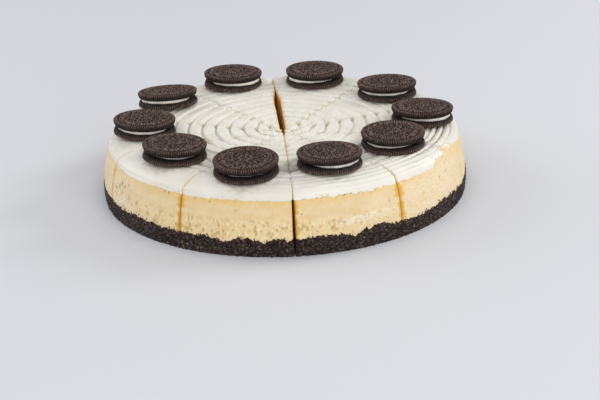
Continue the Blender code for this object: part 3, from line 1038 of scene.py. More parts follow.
# %% The combing as a height
COMB_CENTRE = np.array((1.0, -5.0))
COMB_PITCH = 9.8
COMB_DEPTH = 2.2
BAND_RISE = 0.34
BAND_DROP = 0.11
COMB_FADE = 19.6
KNIFE_PITCH = 4.4
KNIFE_DEPTH = 2.4
STIR_REACH = 34.0
STIR_GAIN = 2.6
COMBED_END = 109.0
COMBED_BLEND = 8.0
RIPPLE_PITCH = 3.6
BACK_GUTTER = (95.0, 38.0, 1.7)
FRONT_GUTTERS = ((-88.0, 12.0, 4.0), (-123.0, 6.0, 2.6), (-53.0, 8.0, 1.6), (-17.0, 8.0, 1.2))


def shingle(phase):
    """One band's section, from 0 in the valley to 1 on top: it rises over the first third like a
    quarter of a sine, stays level, and drops over the last tenth like a half cosine."""
    part = phase % 1.0
    rise = np.sin(0.5 * pi * np.clip(part / BAND_RISE, 0.0, 1.0))
    drop = 0.5 + 0.5 * np.cos(pi * np.clip((part - 1.0 + BAND_DROP) / BAND_DROP, 0.0, 1.0))
    return rise * drop


def comb_bands(plan, index):
    """Where a point lies in the combing: the distance from the comb's centre and the angle, and
    the distance with a slow wobble in band widths, so that each whole number is a valley."""
    x, y = (plan - COMB_CENTRE).T
    slip = np.random.default_rng(50 + index).uniform(-0.45, 0.45)
    away = np.hypot(x, y) + slip
    turn = np.arctan2(y, x)
    wobble = 0.5 * cloud(turn * 3.0, away / 9.0, 0.5, 41)
    return away, turn, (away + wobble) / COMB_PITCH


def comb_strength(away, turn):
    """How deep the bands are: fading towards the comb's centre, and weaker in front."""
    return (1.0 - 0.45 * hump(turn, -90.0, 45.0)) * np.minimum(1.0, away / COMB_FADE)


def gutters(plan):
    """The step down where the comb was set on the cream: rounded at the back, sharp in front.
    Each gutter has its degrees, its width in degrees and its depth."""
    turn = np.arctan2(*plan.T[::-1])
    reach = np.hypot(*plan.T)
    degrees, width, deep = BACK_GUTTER
    back = deep * hump(turn, degrees, width) * bell(reach - 97.0, 5.0)
    sharp = np.clip((reach - 72.0) / 6.0, 0.0, 1.0) * np.clip((96.2 - reach) / 1.4, 0.0, 1.0)
    front = sum(deep * hump(turn, degrees, width) for degrees, width, deep in FRONT_GUTTERS)
    return back + sharp * front


def comb_relief(plan, index):
    """Height of the combing: shingled bands, fine strands of cloud noise drawn out along them,
    lumps that stand higher where the cream was stirred round the hub, and the gutters."""
    away, turn, phase = comb_bands(plan, index)
    x, y = plan.T
    bands = -COMB_DEPTH * comb_strength(away, turn) * (1.0 - shingle(phase))
    fine = 0.16 * cloud(away / 0.9, turn * 5.0, 0.5, 42)
    strands = fine + 0.30 * cloud(away / 2.4, turn * 6.0, 0.5, 43)
    lumps = 0.34 * cloud(x / 3.5, y / 3.5, 0.5, 49) + 0.20 * cloud(x / 1.2, y / 1.2, 0.5, 40)
    stirred = bell(np.hypot(*(plan - HUB).T), STIR_REACH)
    lumps = lumps * (1.0 + STIR_GAIN * stirred)
    return bands + strands + lumps - gutters(plan)


def knife_lines(plan):
    """The palette knife's deep lines on the right shoulder: their strength, and the radius with a
    slow wander in line widths, so that each whole number is a line."""
    radius = np.hypot(*plan.T)
    angle = np.arctan2(*plan.T[::-1])
    strength = hump(angle, -14.0, 24.0) * np.clip((121.0 - radius) / 6.0, 0.0, 1.0)
    return strength, (radius + 1.2 * cloud(angle * 6.0, radius / 30.0, 0.5, 44)) / KNIFE_PITCH


def shoulder_relief(plan):
    """The shoulder: deep lines at the right rim, fine ones at the front right, and dabs of uneven
    cream everywhere."""
    x, y = plan.T
    radius = np.hypot(x, y)
    angle = np.arctan2(y, x)
    strength, phase = knife_lines(plan)
    deep = KNIFE_DEPTH * strength * (np.abs(np.sin(pi * phase)) ** 0.7 - 0.75)
    fine = hump(angle, -62.0, 30.0)
    ripples = 0.22 * fine * np.sin(TURN * KNIFE_PITCH * phase / RIPPLE_PITCH)
    drag = (0.2 + 0.1 * fine) * cloud(angle * 14.0, radius / 1.8, 0.5, 45)
    lump = 1.4 * hump(angle, -125.5, 3.5) * bell(radius - 102.0, 3.5, 4)
    dabs = lump + 0.55 * cloud(x / 8.0, y / 8.0, 0.5, 38) + 0.30 * cloud(x / 3.0, y / 3.0, 0.5, 39)
    return deep + ripples + drag + dabs * np.clip((119.0 - radius) / 8.0, 0.25, 1.0)


trial = comb_relief(np.column_stack((np.linspace(20.0, 90.0, 500), np.zeros(500))), 0)
print("combing runs from", trial.min().round(2), "to", trial.max().round(2), "mm")

# %% Wear and creases along the cuts
CUT_EDGE = 1.0
NOTCH_DEPTH = 2.6
NOTCH_PHASE = 0.12
MOUTH_DEPTH = 2.8
# how far the painted crease shade moves up the rise at the back, and how near a cut it is left out
CREASE_SHIFT = 0.17
DARK_WITHIN = 0.3


def worn_relief(index, relief, plan, distance, combed, cuts):
    """The relief worn along the cuts: a jagged edge, chips, a notch where the knife dragged each
    band down, and a dent at the mouth of the far cut. Also gives the notches' strength."""
    near = np.minimum(*cuts)
    jag = 0.6 + 1.0 * cloud(distance / 1.9, index + 0.5, 0.5, 46)
    chips = combed * np.clip(3.2 * cloud(distance / 2.9, index + 0.5, 0.5, 37) - 0.2, 0.0, 1.5)
    to_valley = np.abs(comb_bands(plan, index)[2] % 1.0 - NOTCH_PHASE)
    notch = combed * bell(to_valley, 0.14) * bell(near, 2.3)
    relief = relief - CUT_EDGE * (jag * bell(near, 0.6) + chips * bell(near, 1.3))
    relief = relief - NOTCH_DEPTH * notch
    if index in (FAR_CUT - 1, FAR_CUT):
        outer = np.clip((np.hypot(*plan.T) - 94.0) / 8.0, 0.0, 1.0)
        relief = relief - MOUTH_DEPTH * (bell(cuts[FAR_CUT - index], 2.4) * outer)
    return relief, notch


def crease_lines(index, plan, combed):
    """What the finish draws the painted crease shade from: a number that is whole in each valley of
    the combing or the knife's lines, and how strong the shade is. At the back it moves up onto the
    rise of the next band, and it is stronger on the left."""
    lines, phase = knife_lines(plan)
    away, turn, bands = comb_bands(plan, index)
    inside = combed > 0.5
    left = 0.35 + 0.25 * hump(turn, 180.0, 65.0)
    strength = np.where(inside, left * comb_strength(away, turn), 1.5 * lines)
    seen = bands - CREASE_SHIFT * hump(turn, 90.0, 60.0)
    return np.where(inside, seen, phase), np.abs(2.0 * combed - 1.0) * strength


print("notches are", NOTCH_DEPTH, "mm deep, and the far cut's mouth", MOUTH_DEPTH, "mm")

# %% Points of a cream slice
CREAM_STEPS = (64, 184, 5)
CREAM_FLAT_ROWS = 150
CREAM_CLOSED = (0.2, 0.06, 0.1)
CREAM_GROOVES = (1.3, 1.5, 0.6, 0.5, 0.5, 2.2, 0.5, 0.5, 0.5, 0.5)
CREAM_LIP = 0.5
THINNEST_CREAM = 1.0


def shoulder_rows(row, lip):
    """For each row: the superellipse's angle down from the top, and its radius and height there.
    The last row lies at the lip's height."""
    lip_rise = (lip - SHOULDER_HEIGHT) / (CREAM_TOP - SHOULDER_HEIGHT)
    steepest = np.arccos(lip_rise ** (SHOULDER_POWER / 2.0))
    bent = (row - CREAM_FLAT_ROWS) / (CREAM_STEPS[1] - CREAM_FLAT_ROWS)
    down = np.clip(bent, 0.0, 1.0) * steepest
    out = np.sin(down) ** (2.0 / SHOULDER_POWER)
    rise = np.cos(down) ** (2.0 / SHOULDER_POWER)
    radius = SHOULDER_INNER_RADIUS + (EDGE_RADIUS - SHOULDER_INNER_RADIUS) * out
    return down, radius, SHOULDER_HEIGHT + (CREAM_TOP - SHOULDER_HEIGHT) * rise


def cream_points(index):
    """Points of a cream slice. Rows run out to the shoulder, then down it by the angle of the
    superellipse, so they crowd where it is steep. Levels run from the filling to the surface, which
    the relief moves along its own slope. The last row is the side under the lip. The marks are
    the distance to the nearer cut, the notches, and the painted crease shade's number and strength."""
    faces, on_cut, across, row, level = slice_grid(CREAM_STEPS, True)
    rows, levels = CREAM_STEPS[1:]
    direction, full, angle = slice_rays(index, across)
    line = cream_line(angle)
    lip = np.maximum(SHOULDER_HEIGHT + CREAM_LIP, line + THINNEST_CREAM)
    down, radius, smooth = shoulder_rows(row, lip)
    share = np.minimum(1.0, row / CREAM_FLAT_ROWS)
    distance = circle_distance(direction, radius) * (TIP_SHARE + (1.0 - TIP_SHARE) * share)
    flat = slice_plan(index, across, distance, CREAM_CLOSED)
    reach = np.hypot(*flat.T)
    combed = np.clip((COMBED_END - reach) / COMBED_BLEND, 0.0, 1.0)
    combed = combed * combed * (3.0 - 2.0 * combed)
    relief = comb_relief(flat, index) * combed + shoulder_relief(flat) * (1.0 - combed)
    cuts = cut_distances(index, flat, CREAM_CLOSED)
    relief, notch = worn_relief(index, relief, flat, distance, combed, cuts)
    edge_height = line + (lip - line) * level / levels
    side = 0.22 * cloud(angle * 16.0, edge_height / 1.3, 0.5, 47)
    fixed = np.where(row == rows, side, relief)
    top = smooth + fixed * np.cos(down)
    top = under_biscuits(flat[:, 0], flat[:, 1], top, 0.05)
    floor = np.where(row == rows, line, np.minimum(FILLING_HEIGHT + 0.2, top - 0.4))
    rim_cuts = cut_distances(index, slice_plan(index, across, full, CREAM_CLOSED), CREAM_CLOSED)
    rim_radius = outer_radius(edge_height) + side - grooves(index, rim_cuts, CREAM_GROOVES)
    spoke = flat / np.maximum(reach, 1.0)[:, None]
    moved = flat + spoke * (fixed * np.sin(down) * (level / levels))[:, None]
    at_rim = slice_plan(index, across, circle_distance(direction, rim_radius), CREAM_CLOSED)
    plan = np.where((row == rows)[:, None], at_rim, moved)
    height = np.where(row == rows, edge_height, floor + (top - floor) * level / levels)
    points = np.column_stack((plan, height))
    fans = np.array([(*plan.mean(axis=0), FILLING_HEIGHT + 0.2)] * 2)
    phase, painted_crease_shade = crease_lines(index, flat, combed)
    marks = (np.minimum(*cuts), notch, phase, painted_crease_shade * (row < rows))
    arc = angle * WIDEST_RADIUS
    return np.concatenate((points, fans)), faces, on_cut, arc, distance, marks


print("a cream slice has a grid of", CREAM_STEPS, "steps")

# %% The cream's slices
CREAM_STAINS = (0.1, 0.55, 0.2, 0.2, 0.2, 0.0, 0.2, 0.3, 0.4, 0.4)

# For each tint on the top: right and back of the axis, its width in millimetres and its strength.
TINTS = (
    (-38.0, 40.0, 1.8, 0.35), (-13.0, 0.0, 1.2, 0.4), (-7.0, -12.7, 1.0, 0.9),
    (-51.7, -26.7, 1.1, 0.7), (35.0, 41.0, 1.6, 0.35), (12.5, 3.0, 1.2, 0.4),
)


def cream_values(index, points, distance, near, notch, phase, painted_crease_shade):
    """What the finish reads at each point: the curd's tint at single spots, nicks, cuts and
    notches, the painted amber glow at the edge of the front and far cuts, the painted crease shade,
    painted shade in the gutters and the notches, and crumb dust with painted shade round the
    biscuits."""
    x, y, height = points.T
    reach = np.hypot(x, y)
    tint = sum(
        size * np.exp(-(((x - at_x) ** 2 + (y - at_y) ** 2) / width**2))
        for at_x, at_y, width, size in TINTS
    )
    nicks = np.clip(cloud(distance / 1.3, index + 0.5, 0.5, 48) - 0.35, 0.0, 1.0)
    tint = tint + 0.5 * nicks * bell(near, 0.6) + 0.5 * notch
    amber = 0.0 * x
    # painted shade in the front gutters and notches; crumb dust with painted shade round the
    # biscuits
    sunk = np.clip(gutters(points[:, :2]) / 4.0, 0.0, 1.0) * (y < 0.0)
    specks = np.clip(3.0 * cloud(x / 1.4, y / 1.4, 0.5, 36) - 0.2, 0.0, 1.0)
    dust_and_painted_shade = 0.8 * sunk + 0.9 * notch + 0.4 * specks * bell(biscuit_rims(x, y), 3.0)
    beyond = np.clip((reach - 108.0) / 10.0, 0.0, 1.0)
    for cut, away in both_sides(index, cut_distances(index, points[:, :2], CREAM_CLOSED)):
        tint = tint + CREAM_STAINS[cut] * beyond * bell(away, 1.1)
        if cut == FRONT_CUT:
            tint = tint + 0.8 * bell(away, 0.6) * (reach < 78.0)
        # painted amber glow on the edges of the front cut's mouth and of the far cut
        if cut == index == FRONT_CUT:
            amber = amber + 0.7 * beyond * bell(away, 0.6)
        if cut == FAR_CUT:
            amber = amber + 0.8 * bell(away, 0.15)
            tint = tint + 0.9 * bell(away, 1.0) * (distance < 95.0)
    deep = np.clip((45.0 - height) / 6.0, 0.0, 1.0) * bell(near, 0.15)
    return {
        "tint": np.clip(tint + 0.3 * deep, 0.0, 1.0),
        "amber": amber,
        "phase": phase,
        "painted_crease_shade": painted_crease_shade * (near > DARK_WITHIN),
        "dust_and_painted_shade": np.clip(dust_and_painted_shade, 0.0, 1.0),
    }


for index in range(SLICES):
    number = f"{index + 1:02d}"
    points, faces, on_cut, arc, distance, marks = cream_points(index)
    values = cream_values(index, points[:-2], distance, *marks)
    add_layer(
        f"combed_cream_{number}", points, faces, on_cut, arc, distance,
        cream_finish, "cream", f"cream_{number}", **values,
    )
print("a cream slice has", len(faces), "triangles")

# %% [markdown]
# ## Loose crumbs
#
# The knife lifted little lumps of cream and curd where the cuts meet, and crumbs stand out of the
# crust's edge. Each is too small to be worth its own object. One lump, a twelve-cornered ball, is
# copied to many places with its own size, turn and stretch, and all the copies are one mesh.

# %% Scatter the crumbs
GOLDEN = 0.5 * (1.0 + 5.0**0.5)
CORNERS = 12


def ball():
    """An icosahedron of radius 1: the twelve corners (0, 1, g) and their like, and every three
    corners that lie nearest each other, 2 apart before it is scaled, facing out."""
    flat = [(0.0, a, b * GOLDEN) for a in (-1.0, 1.0) for b in (-1.0, 1.0)]
    corners = np.array([np.roll(spot, turn) for turn in range(3) for spot in flat])
    gaps = np.linalg.norm(corners[:, None] - corners[None], axis=-1)
    near = (gaps > 1.9) & (gaps < 2.1)
    a, b, c = np.nonzero(near[:, :, None] & near[None] & near[:, None, :])
    ordered = (a < b) & (b < c)
    faces = np.stack((a, b, c), -1)[ordered]
    middle = corners[faces].mean(axis=1)
    normal = np.cross(
        corners[faces[:, 1]] - corners[faces[:, 0]], corners[faces[:, 2]] - corners[faces[:, 0]]
    )
    inward = (normal * middle).sum(axis=-1) < 0.0
    faces[inward] = faces[inward][:, ::-1]
    return corners / np.linalg.norm(corners[0]), faces


def scattered(spots, sizes, seed):
    """Copies of the ball at these spots, each turned, stretched and dented at random."""
    corners, faces = ball()
    random = np.random.default_rng(seed)
    count = len(spots)
    turns = np.linalg.qr(random.normal(size=(count, 3, 3)))[0]
    turns = turns * np.sign(np.linalg.det(turns))[:, None, None]
    shape = random.uniform(0.6, 1.25, (count, 1, 3)) * sizes[:, None, None]
    dents = random.uniform(0.75, 1.15, (count, CORNERS, 1))
    points = (corners[None] * dents * shape) @ turns + spots[:, None]
    numbered = faces[None] + CORNERS * np.arange(count)[:, None, None]
    return points.reshape(-1, 3), numbered.reshape(-1, 3)


print("a crumb has", len(ball()[1]), "triangles")

# %% Crumbs on the crust
CRUST_CRUMBS = 2600

random = np.random.default_rng(81)
count = CRUST_CRUMBS
turn = random.uniform(-pi, pi, count)
high = crumb_line(turn)
third = np.arange(count) % 3
at_edge = high + random.normal(0.0, 0.35, count)
near_edge = random.uniform(0.6, 1.0, count) * high
level = np.where(third == 0, at_edge, near_edge)
level = np.where(third == 1, random.uniform(0.5, 12.0, count), level)
strewn = hump(turn, -33.0, 14.0) + 0.5 * hump(turn, -140.0, 14.0)
stuck = random.random(count) < 0.35 * strewn
level = level + np.where(stuck, random.uniform(0.0, 3.0, count), 0.0)
size = random.uniform(0.25, 0.7, count)
ring = outer_radius(level) + random.uniform(-0.3, 0.25, count)
spots = np.column_stack((ring * np.cos(turn), ring * np.sin(turn), np.maximum(level, 1.2 * size)))
points, faces = scattered(spots, size, 82)
mesh = new_mesh("crust_crumbs", points, faces)
fringe = np.clip((level - high + 1.2) / 1.2, 0.0, 1.0)
add_values(mesh, fringe=np.repeat(fringe, CORNERS))
add_piece("crust_crumbs", mesh, crust_finish)
print("crust crumbs:", count)

# %% Crumbs on the cream
CREAM_CRUMBS = 170
CLEAR_CUTS = ((FAR_CUT, 3.4), (FRONT_CUT, 1.4))

# For each heap on the side: its degrees, its spread in degrees and its number of crumbs.
SIDE_HEAPS = (
    (-108.0, 2.2, 14), (-101.5, 1.8, 14), (-95.0, 1.6, 10), (-74.0, 7.0, 40), (-124.0, 7.0, 16),
)

count = CREAM_CRUMBS
cut = random.integers(0, SLICES, count)
out = np.abs(random.normal(0.0, 26.0, count)) + 3.0
ways = np.array([cut_direction(index) for index in range(SLICES)])[cut]
flat = HUB + ways * out[:, None] + random.normal(0.0, 1.8, (count, 2)) * (1.0 + out[:, None] / 40.0)
for open_cut, clear in CLEAR_CUTS:
    along = cut_direction(open_cut)
    ahead = (flat - HUB) @ along
    beside = np.abs((flat - HUB) @ np.array((-along[1], along[0])))
    kept = (beside > clear) | (ahead < -1.0)
    flat, out = flat[kept], out[kept]
count = len(flat)
size = random.uniform(0.2, 0.7, count) * (1.0 + 0.7 * np.exp(-out / 12.0))
on_top = np.column_stack((flat, CREAM_TOP + 0.6 * comb_relief(flat, 0) + 0.2 * size))
turn = np.concatenate(
    [radians(at) + radians(wide) * random.normal(size=many) for at, wide, many in SIDE_HEAPS]
)
level = cream_line(turn) + random.normal(0.2, 0.8, turn.size)
ring = outer_radius(level) + 0.1
on_side = np.column_stack((ring * np.cos(turn), ring * np.sin(turn), level))
size = np.concatenate((size, random.uniform(0.25, 0.6, turn.size)))
points, faces = scattered(np.concatenate((on_top, on_side)), size, 83)
mesh = new_mesh("cream_crumbs", points, faces)
tint_on_top = 0.5 * random.uniform(0.0, 1.0, count) ** 3
tint_on_side = random.uniform(0.0, 1.0, turn.size) ** 1.5
tint = np.concatenate((tint_on_top, tint_on_side))
add_values(mesh, tint=np.repeat(tint, CORNERS), amber=np.zeros(len(points)))
add_piece("cream_crumbs", mesh, cream_finish)
print("cream crumbs:", size.size)

# %% [markdown]
# ## The sandwich biscuits
#
# A biscuit is two dark wafers with a disc of cream between them. The wafers are stamped: here the
# rim is toothed, a raised ring and a ring of small beads run inside it, and rough grains fill the
# middle round a second ring. A wafer is a profile turned round an axis, whose height also depends
# on the angle, so that the teeth and the beads stand out. It is made flat and then leaned over in
# its place.

# %% The wafers' finish
WAFER_DARKEST = (0.005, 0.0028, 0.0024)
WAFER_DARK = (0.023, 0.0125, 0.0092)
# painted highlight where the stamp and the teeth stand out
WAFER_PAINTED_HIGHLIGHT = (0.335, 0.222, 0.187)
DISC_SHADE = (0.66, 0.60, 0.55)
DISC_LIGHT = (0.78, 0.72, 0.67)


def make_wafer_finish():
    """Nearly black biscuit with a painted highlight, brown and in specks, where the stamp and the
    teeth stand out, and a bump of fine pits."""
    finish, tree, shader = new_finish("dark_wafer", 0.62, Specular_IOR_Level=0.2)
    spot = place(tree)
    drift = noise(tree, spot, 420.0, 4.0, 0.65)
    base = mixed(tree, ranged(tree, drift, 0.35, 0.65), WAFER_DARKEST, WAFER_DARK)
    # painted highlight, in specks, where the stamp and the teeth stand out
    highlight = product(tree, value_of(tree, "raised"), ranged(tree, drift, 0.25, 0.75, 0.35, 1.0))
    specks = noise(tree, spot, 950.0, 2.0)
    highlight = product(tree, highlight, ranged(tree, specks, 0.42, 0.60, 0.4, 1.0))
    base = mixed(tree, highlight, base, WAFER_PAINTED_HIGHLIGHT)
    feed(tree, shader.inputs["Base Color"], base)
    pits = bumped(tree, noise(tree, spot, 1500.0, 3.0, 0.65), 0.2, 0.9)
    feed(tree, shader.inputs["Normal"], pits)
    return finish


def make_centre_finish():
    """Dull white sugar cream in two shades, with a fine grain."""
    finish, tree, shader = new_finish("biscuit_cream", 0.55, Subsurface_Weight=0.1)
    shader.inputs["Subsurface Scale"].default_value = 0.002
    drift = ranged(tree, noise(tree, place(tree), 500.0, 3.0), 0.3, 0.7)
    feed(tree, shader.inputs["Base Color"], mixed(tree, drift, DISC_SHADE, DISC_LIGHT))
    feed(tree, shader.inputs["Normal"], bumped(tree, noise(tree, place(tree), 900.0), 0.15))
    return finish


wafer_finish = make_wafer_finish()
centre_finish = make_centre_finish()
print("wafer finish has", len(wafer_finish.node_tree.nodes), "nodes")

# %% The stamped face and the toothed rim
WAFER_THICK = 4.0
BISCUIT_CREAM_THICK = 2.3
BISCUIT_CREAM_RADIUS = 19.6
FACE_RADIUS = 21.0
TEETH = 84
TURN_STEPS = 252
FIELD_RADIUS = 18.4
FIELD_DROP = 0.5
GRAIN_SIZE = 1.9
GRAIN_HEIGHT = 2.1
BEADS = 44
BEAD_RING = 15.4
BEAD_SIZE = 0.85
BEAD_HEIGHT = 0.7

# For each raised ring: its radius, its half width and its height.
RINGS = ((17.1, 0.45, 0.45), (4.2, 0.5, 0.45))


def stamped(radius, angle):
    """Height of the upper face over its own level: a sunk field of grains from pebble noise, two
    raised rings, a ring of domed beads, and a rim of small teeth that fade inwards."""
    x = radius * np.cos(angle)
    y = radius * np.sin(angle)
    field = np.clip((FIELD_RADIUS - radius) / 0.5, 0.0, 1.0)
    grain = GRAIN_HEIGHT * (pebbles(x / GRAIN_SIZE, y / GRAIN_SIZE, 61) - 0.35)
    fine = 0.25 * cloud(x / 0.8, y / 0.8, 0.5, 62)
    height = field * (grain + fine - FIELD_DROP)
    for ring, width, size in RINGS:
        height = height + size * bell(radius - ring, width)
    part = TURN / BEADS
    off = (angle + 0.5 * part) % part - 0.5 * part
    away = ((radius - BEAD_RING) ** 2 + (off * BEAD_RING) ** 2) / BEAD_SIZE**2
    height = height + BEAD_HEIGHT * np.sqrt(np.clip(1.0 - away, 0.0, 1.0))
    teeth = np.clip((radius - FIELD_RADIUS - 0.3) / 0.8, 0.0, 1.0)
    return height + teeth * (0.6 * np.cos(TEETH * angle) - 0.4)


def wafer_outline(steps):
    """The half outline of a wafer as radius and height, from the middle of its stamped face over
    the rounded edge and down the side, which tapers towards the cream, to the plain face."""
    inner = np.linspace(0.0, FACE_RADIUS, steps)
    turn = np.linspace(0.0, pi / 2.0, 4)[1:]
    face = np.column_stack((inner, np.full(inner.size, WAFER_THICK)))
    edge = np.column_stack((FACE_RADIUS + np.sin(turn), WAFER_THICK - 1.0 + np.cos(turn)))
    taper = np.array(((21.8, 2.0), (21.5, 1.0), (21.1, 0.3), (20.6, 0.0), (0.0, 0.0)))
    return np.concatenate((face, edge, taper))


def turned_faces(rows, steps):
    """Triangles of a profile carried round an axis, with its first and last points as poles."""
    ids = 1 + np.arange((rows - 2) * steps).reshape(rows - 2, steps)
    ids = np.concatenate((ids, ids[:, :1]), axis=1)
    last = 1 + (rows - 2) * steps
    top = np.stack((np.zeros(steps, int), ids[0, :-1], ids[0, 1:]), -1)
    bottom = np.stack((np.full(steps, last), ids[-1, 1:], ids[-1, :-1]), -1)
    return np.concatenate((top, grid_triangles(ids), bottom))


def turned_points(outline, steps, relief):
    """The profile's points at every angle. relief(radius, angle, height) gives how far a point
    moves outwards and upwards."""
    radius, height = (column[:, None] for column in outline[1:-1].T)
    angle = np.linspace(0.0, TURN, steps, endpoint=False)[None, :]
    outward, upward = relief(radius, angle, height)
    wide = radius + outward
    ring = np.stack((wide * np.cos(angle), wide * np.sin(angle), height + upward), -1)
    poles = np.array(((0.0, 0.0, outline[0, 1]), (0.0, 0.0, outline[-1, 1])))
    return np.concatenate((poles[:1], ring.reshape(-1, 3), poles[1:]))


def wafer_relief(stamp):
    """The relief of a wafer: teeth on the rim, and on the face the height that stamp gives."""

    def relief(radius, angle, height):
        rim = np.clip((radius - 20.6) / 1.4, 0.0, 1.0) * np.clip((height - 0.5) / 2.0, 0.0, 1.0)
        outward = rim * (0.48 * np.cos(TEETH * angle) - 0.48)
        return outward, np.where(height > WAFER_THICK - 0.01, stamp(radius, angle), 0.0)

    return relief


def turned_over(points, faces):
    """The same wafer lying on its stamped face: heights mirrored, and triangles turned round."""
    return points * np.array((1.0, 1.0, -1.0)) + np.array((0.0, 0.0, WAFER_THICK)), faces[:, ::-1]


def leaned(points, index, lift, spin):
    """Turn flat points by spin, lift them, and lay them in a biscuit's own place and lean."""
    base, normal = biscuit_frame(index)
    lean = Vector((0.0, 0.0, 1.0)).rotation_difference(normal).to_matrix()
    matrix = np.array(lean @ Matrix.Rotation(spin, 3, "Z"))
    return (points + np.array((0.0, 0.0, lift))) @ matrix.T + np.array(base)


def plain_face(radius, angle):
    """The face that lies in the cream only keeps the teeth of the rim."""
    return 0.3 * np.clip((radius - 19.5) / 1.0, 0.0, 1.0) * (np.cos(TEETH * angle) - 1.0)


upper_outline = wafer_outline(42)
lower_outline = wafer_outline(6)
upper_flat = turned_points(upper_outline, TURN_STEPS, wafer_relief(stamped))
upper_faces = turned_faces(len(upper_outline), TURN_STEPS)
lower_up = turned_points(lower_outline, TURN_STEPS, wafer_relief(plain_face))
lower_flat, lower_faces = turned_over(lower_up, turned_faces(len(lower_outline), TURN_STEPS))
print("upper wafer", len(upper_faces), "and lower wafer", len(lower_faces), "triangles")

# %% The disc of cream and the worn places
DISC_STEPS = 96


def centre_relief(radius, angle, height):
    """The pressed-out cream: its edge wanders by half a millimetre."""
    edge = 0.45 * np.sin(3.0 * angle + 1.0) + 0.25 * np.sin(11.0 * angle) - 0.3
    return np.where(radius > 15.0, edge, 0.0 * angle), 0.0 * angle + 0.0 * radius


def centre_outline():
    """The half outline of the cream disc, with a rounded edge."""
    turn = np.linspace(0.0, pi, 7)
    half = BISCUIT_CREAM_THICK / 2.0
    radius = BISCUIT_CREAM_RADIUS - half + half * np.sin(turn)
    edge = np.column_stack((radius, half + half * np.cos(turn)))
    return np.concatenate((((0.0, 2.0 * half),), edge, ((0.0, 0.0),)))


def raised_share(points, up):
    """How far the stamp's high places and the rim's teeth stand out, from 0 to 1, as the share of
    painted highlight. up is the height above the plain face."""
    radius = np.hypot(points[:, 0], points[:, 1])
    tooth = 0.5 + 0.5 * np.cos(TEETH * np.arctan2(points[:, 1], points[:, 0]))
    face = np.clip((up - WAFER_THICK + 0.25) / 0.8, 0.0, 1.0) ** 1.9
    return np.where(radius > 19.0, tooth**2.0 * np.clip((up - 1.8) / 1.8, 0.0, 1.0), face)


outline = centre_outline()
centre_flat = turned_points(outline, DISC_STEPS, centre_relief)
centre_faces = turned_faces(len(outline), DISC_STEPS)
# the painted highlight's share on each wafer, stronger on the lower one
upper_raised = raised_share(upper_flat, upper_flat[:, 2])
lower_height = WAFER_THICK - lower_flat[:, 2] + 0.8
lower_raised = np.clip(1.7 * raised_share(lower_flat, lower_height), 0.0, 1.0)
print("a disc of cream has", len(centre_faces), "triangles")

# %% Lay the biscuits
UPPER_LIFT = WAFER_THICK + BISCUIT_CREAM_THICK

# For each disc of cream: its radius, and how far it slid to the right and back.
CENTRES = (
    (17.5, 2.4, -2.0), (17.3, -1.5, -1.6), (18.0, 1.8, -2.3), (17.8, -0.8, -2.3),
    (17.5, -2.7, -2.3), (18.3, 1.8, -2.6), (18.3, -0.8, -2.8), (18.0, -0.6, -2.6),
    (17.5, 0.0, 0.0), (17.6, 0.0, 0.0),
)


def add_part(name, node, index, spin, lift, flat, faces, finish, slot, **values):
    """Lay a flat part of a biscuit in its place, with its values, and put it in."""
    number = f"{index + 1:02d}"
    mesh = new_mesh(f"{name}_{number}", leaned(flat, index, lift, spin), faces)
    add_values(mesh, **values)
    add_piece(f"{name}_{number}", mesh, finish, f"{node}_{number}")


for index in range(SLICES):
    spin = np.random.default_rng(70 + index).uniform(0.0, TURN)
    radius, right, back = CENTRES[index]
    slid = (right * cos(spin) + back * sin(spin), back * cos(spin) - right * sin(spin), 0.0)
    size = radius / BISCUIT_CREAM_RADIUS
    disc = centre_flat * np.array((size, size, 1.0)) + np.array(slid)
    add_part(
        "stamped_wafer", "wafer_upper", index, spin, UPPER_LIFT, upper_flat, upper_faces,
        wafer_finish, "wafer", raised=upper_raised,
    )
    add_part(
        "toothed_wafer", "wafer_lower", index, spin, 0.0, lower_flat, lower_faces,
        wafer_finish, "wafer", raised=lower_raised,
    )
    add_part(
        "centre_cream", "wafer_cream", index, spin, WAFER_THICK, disc, centre_faces,
        centre_finish, "wafer_cream",
    )
print("laid", SLICES, "biscuits")

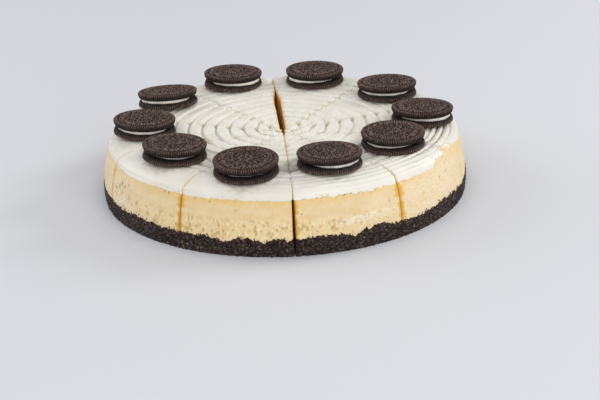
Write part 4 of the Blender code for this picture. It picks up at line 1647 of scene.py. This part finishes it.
# %% [markdown]
# ## Floor and light
#
# The cake stands on a plain pale floor that reaches past the picture on all sides. The photograph
# has a large soft light from in front, a little to the right, and so much light from all round
# that shadows are pale. Three area lamps and a bright, slightly blue world do the same.

# %% The floor and the lamps
FLOOR_COLOUR = (0.70, 0.71, 0.75)
FLOOR_HALF = 6.0
LAMP_TARGET = Vector((0.0, 0.0, 0.03))

# For each lamp: its place and its width in metres, its power in watts and its colour.
LAMPS = (
    ("key", (0.4, -1.6, 1.0), 1.6, 18.0, (1.0, 0.985, 0.96)),
    ("rim", (1.3, 0.45, 0.9), 0.6, 9.0, (1.0, 0.99, 0.97)),
    ("fill", (-1.35, 0.55, 0.8), 1.2, 8.5, (1.0, 0.99, 0.98)),
)
WORLD_COLOUR = (0.97, 0.98, 1.0, 1.0)
WORLD_STRENGTH = 0.52


def make_floor():
    """One square at height 0."""
    finish, tree, shader = new_finish("pale_floor", 0.6)
    feed(tree, shader.inputs["Base Color"], FLOOR_COLOUR)
    mesh = bpy.data.meshes.new("floor")
    corners = [(-1.0, -1.0, 0.0), (1.0, -1.0, 0.0), (1.0, 1.0, 0.0), (-1.0, 1.0, 0.0)]
    mesh.from_pydata([FLOOR_HALF * Vector(corner) for corner in corners], [], [(0, 1, 2, 3)])
    mesh.materials.append(finish)
    made = bpy.data.objects.new("floor", mesh)
    bpy.context.scene.collection.objects.link(made)


def add_lamp(name, spot, size, power, colour):
    """A square area lamp at a spot in metres, facing the cake."""
    lamp = bpy.data.lights.new(name, "AREA")
    lamp.size = size
    lamp.energy = power
    lamp.color = colour
    made = bpy.data.objects.new(name, lamp)
    made.location = spot
    made.rotation_euler = (LAMP_TARGET - Vector(spot)).to_track_quat("-Z", "Y").to_euler()
    bpy.context.scene.collection.objects.link(made)


make_floor()
for row in LAMPS:
    add_lamp(*row)
world = bpy.data.worlds.new("studio")
world.use_nodes = True
world.node_tree.nodes["Background"].inputs["Color"].default_value = WORLD_COLOUR
world.node_tree.nodes["Background"].inputs["Strength"].default_value = WORLD_STRENGTH
bpy.context.scene.world = world
bpy.context.scene.view_settings.view_transform = "Standard"
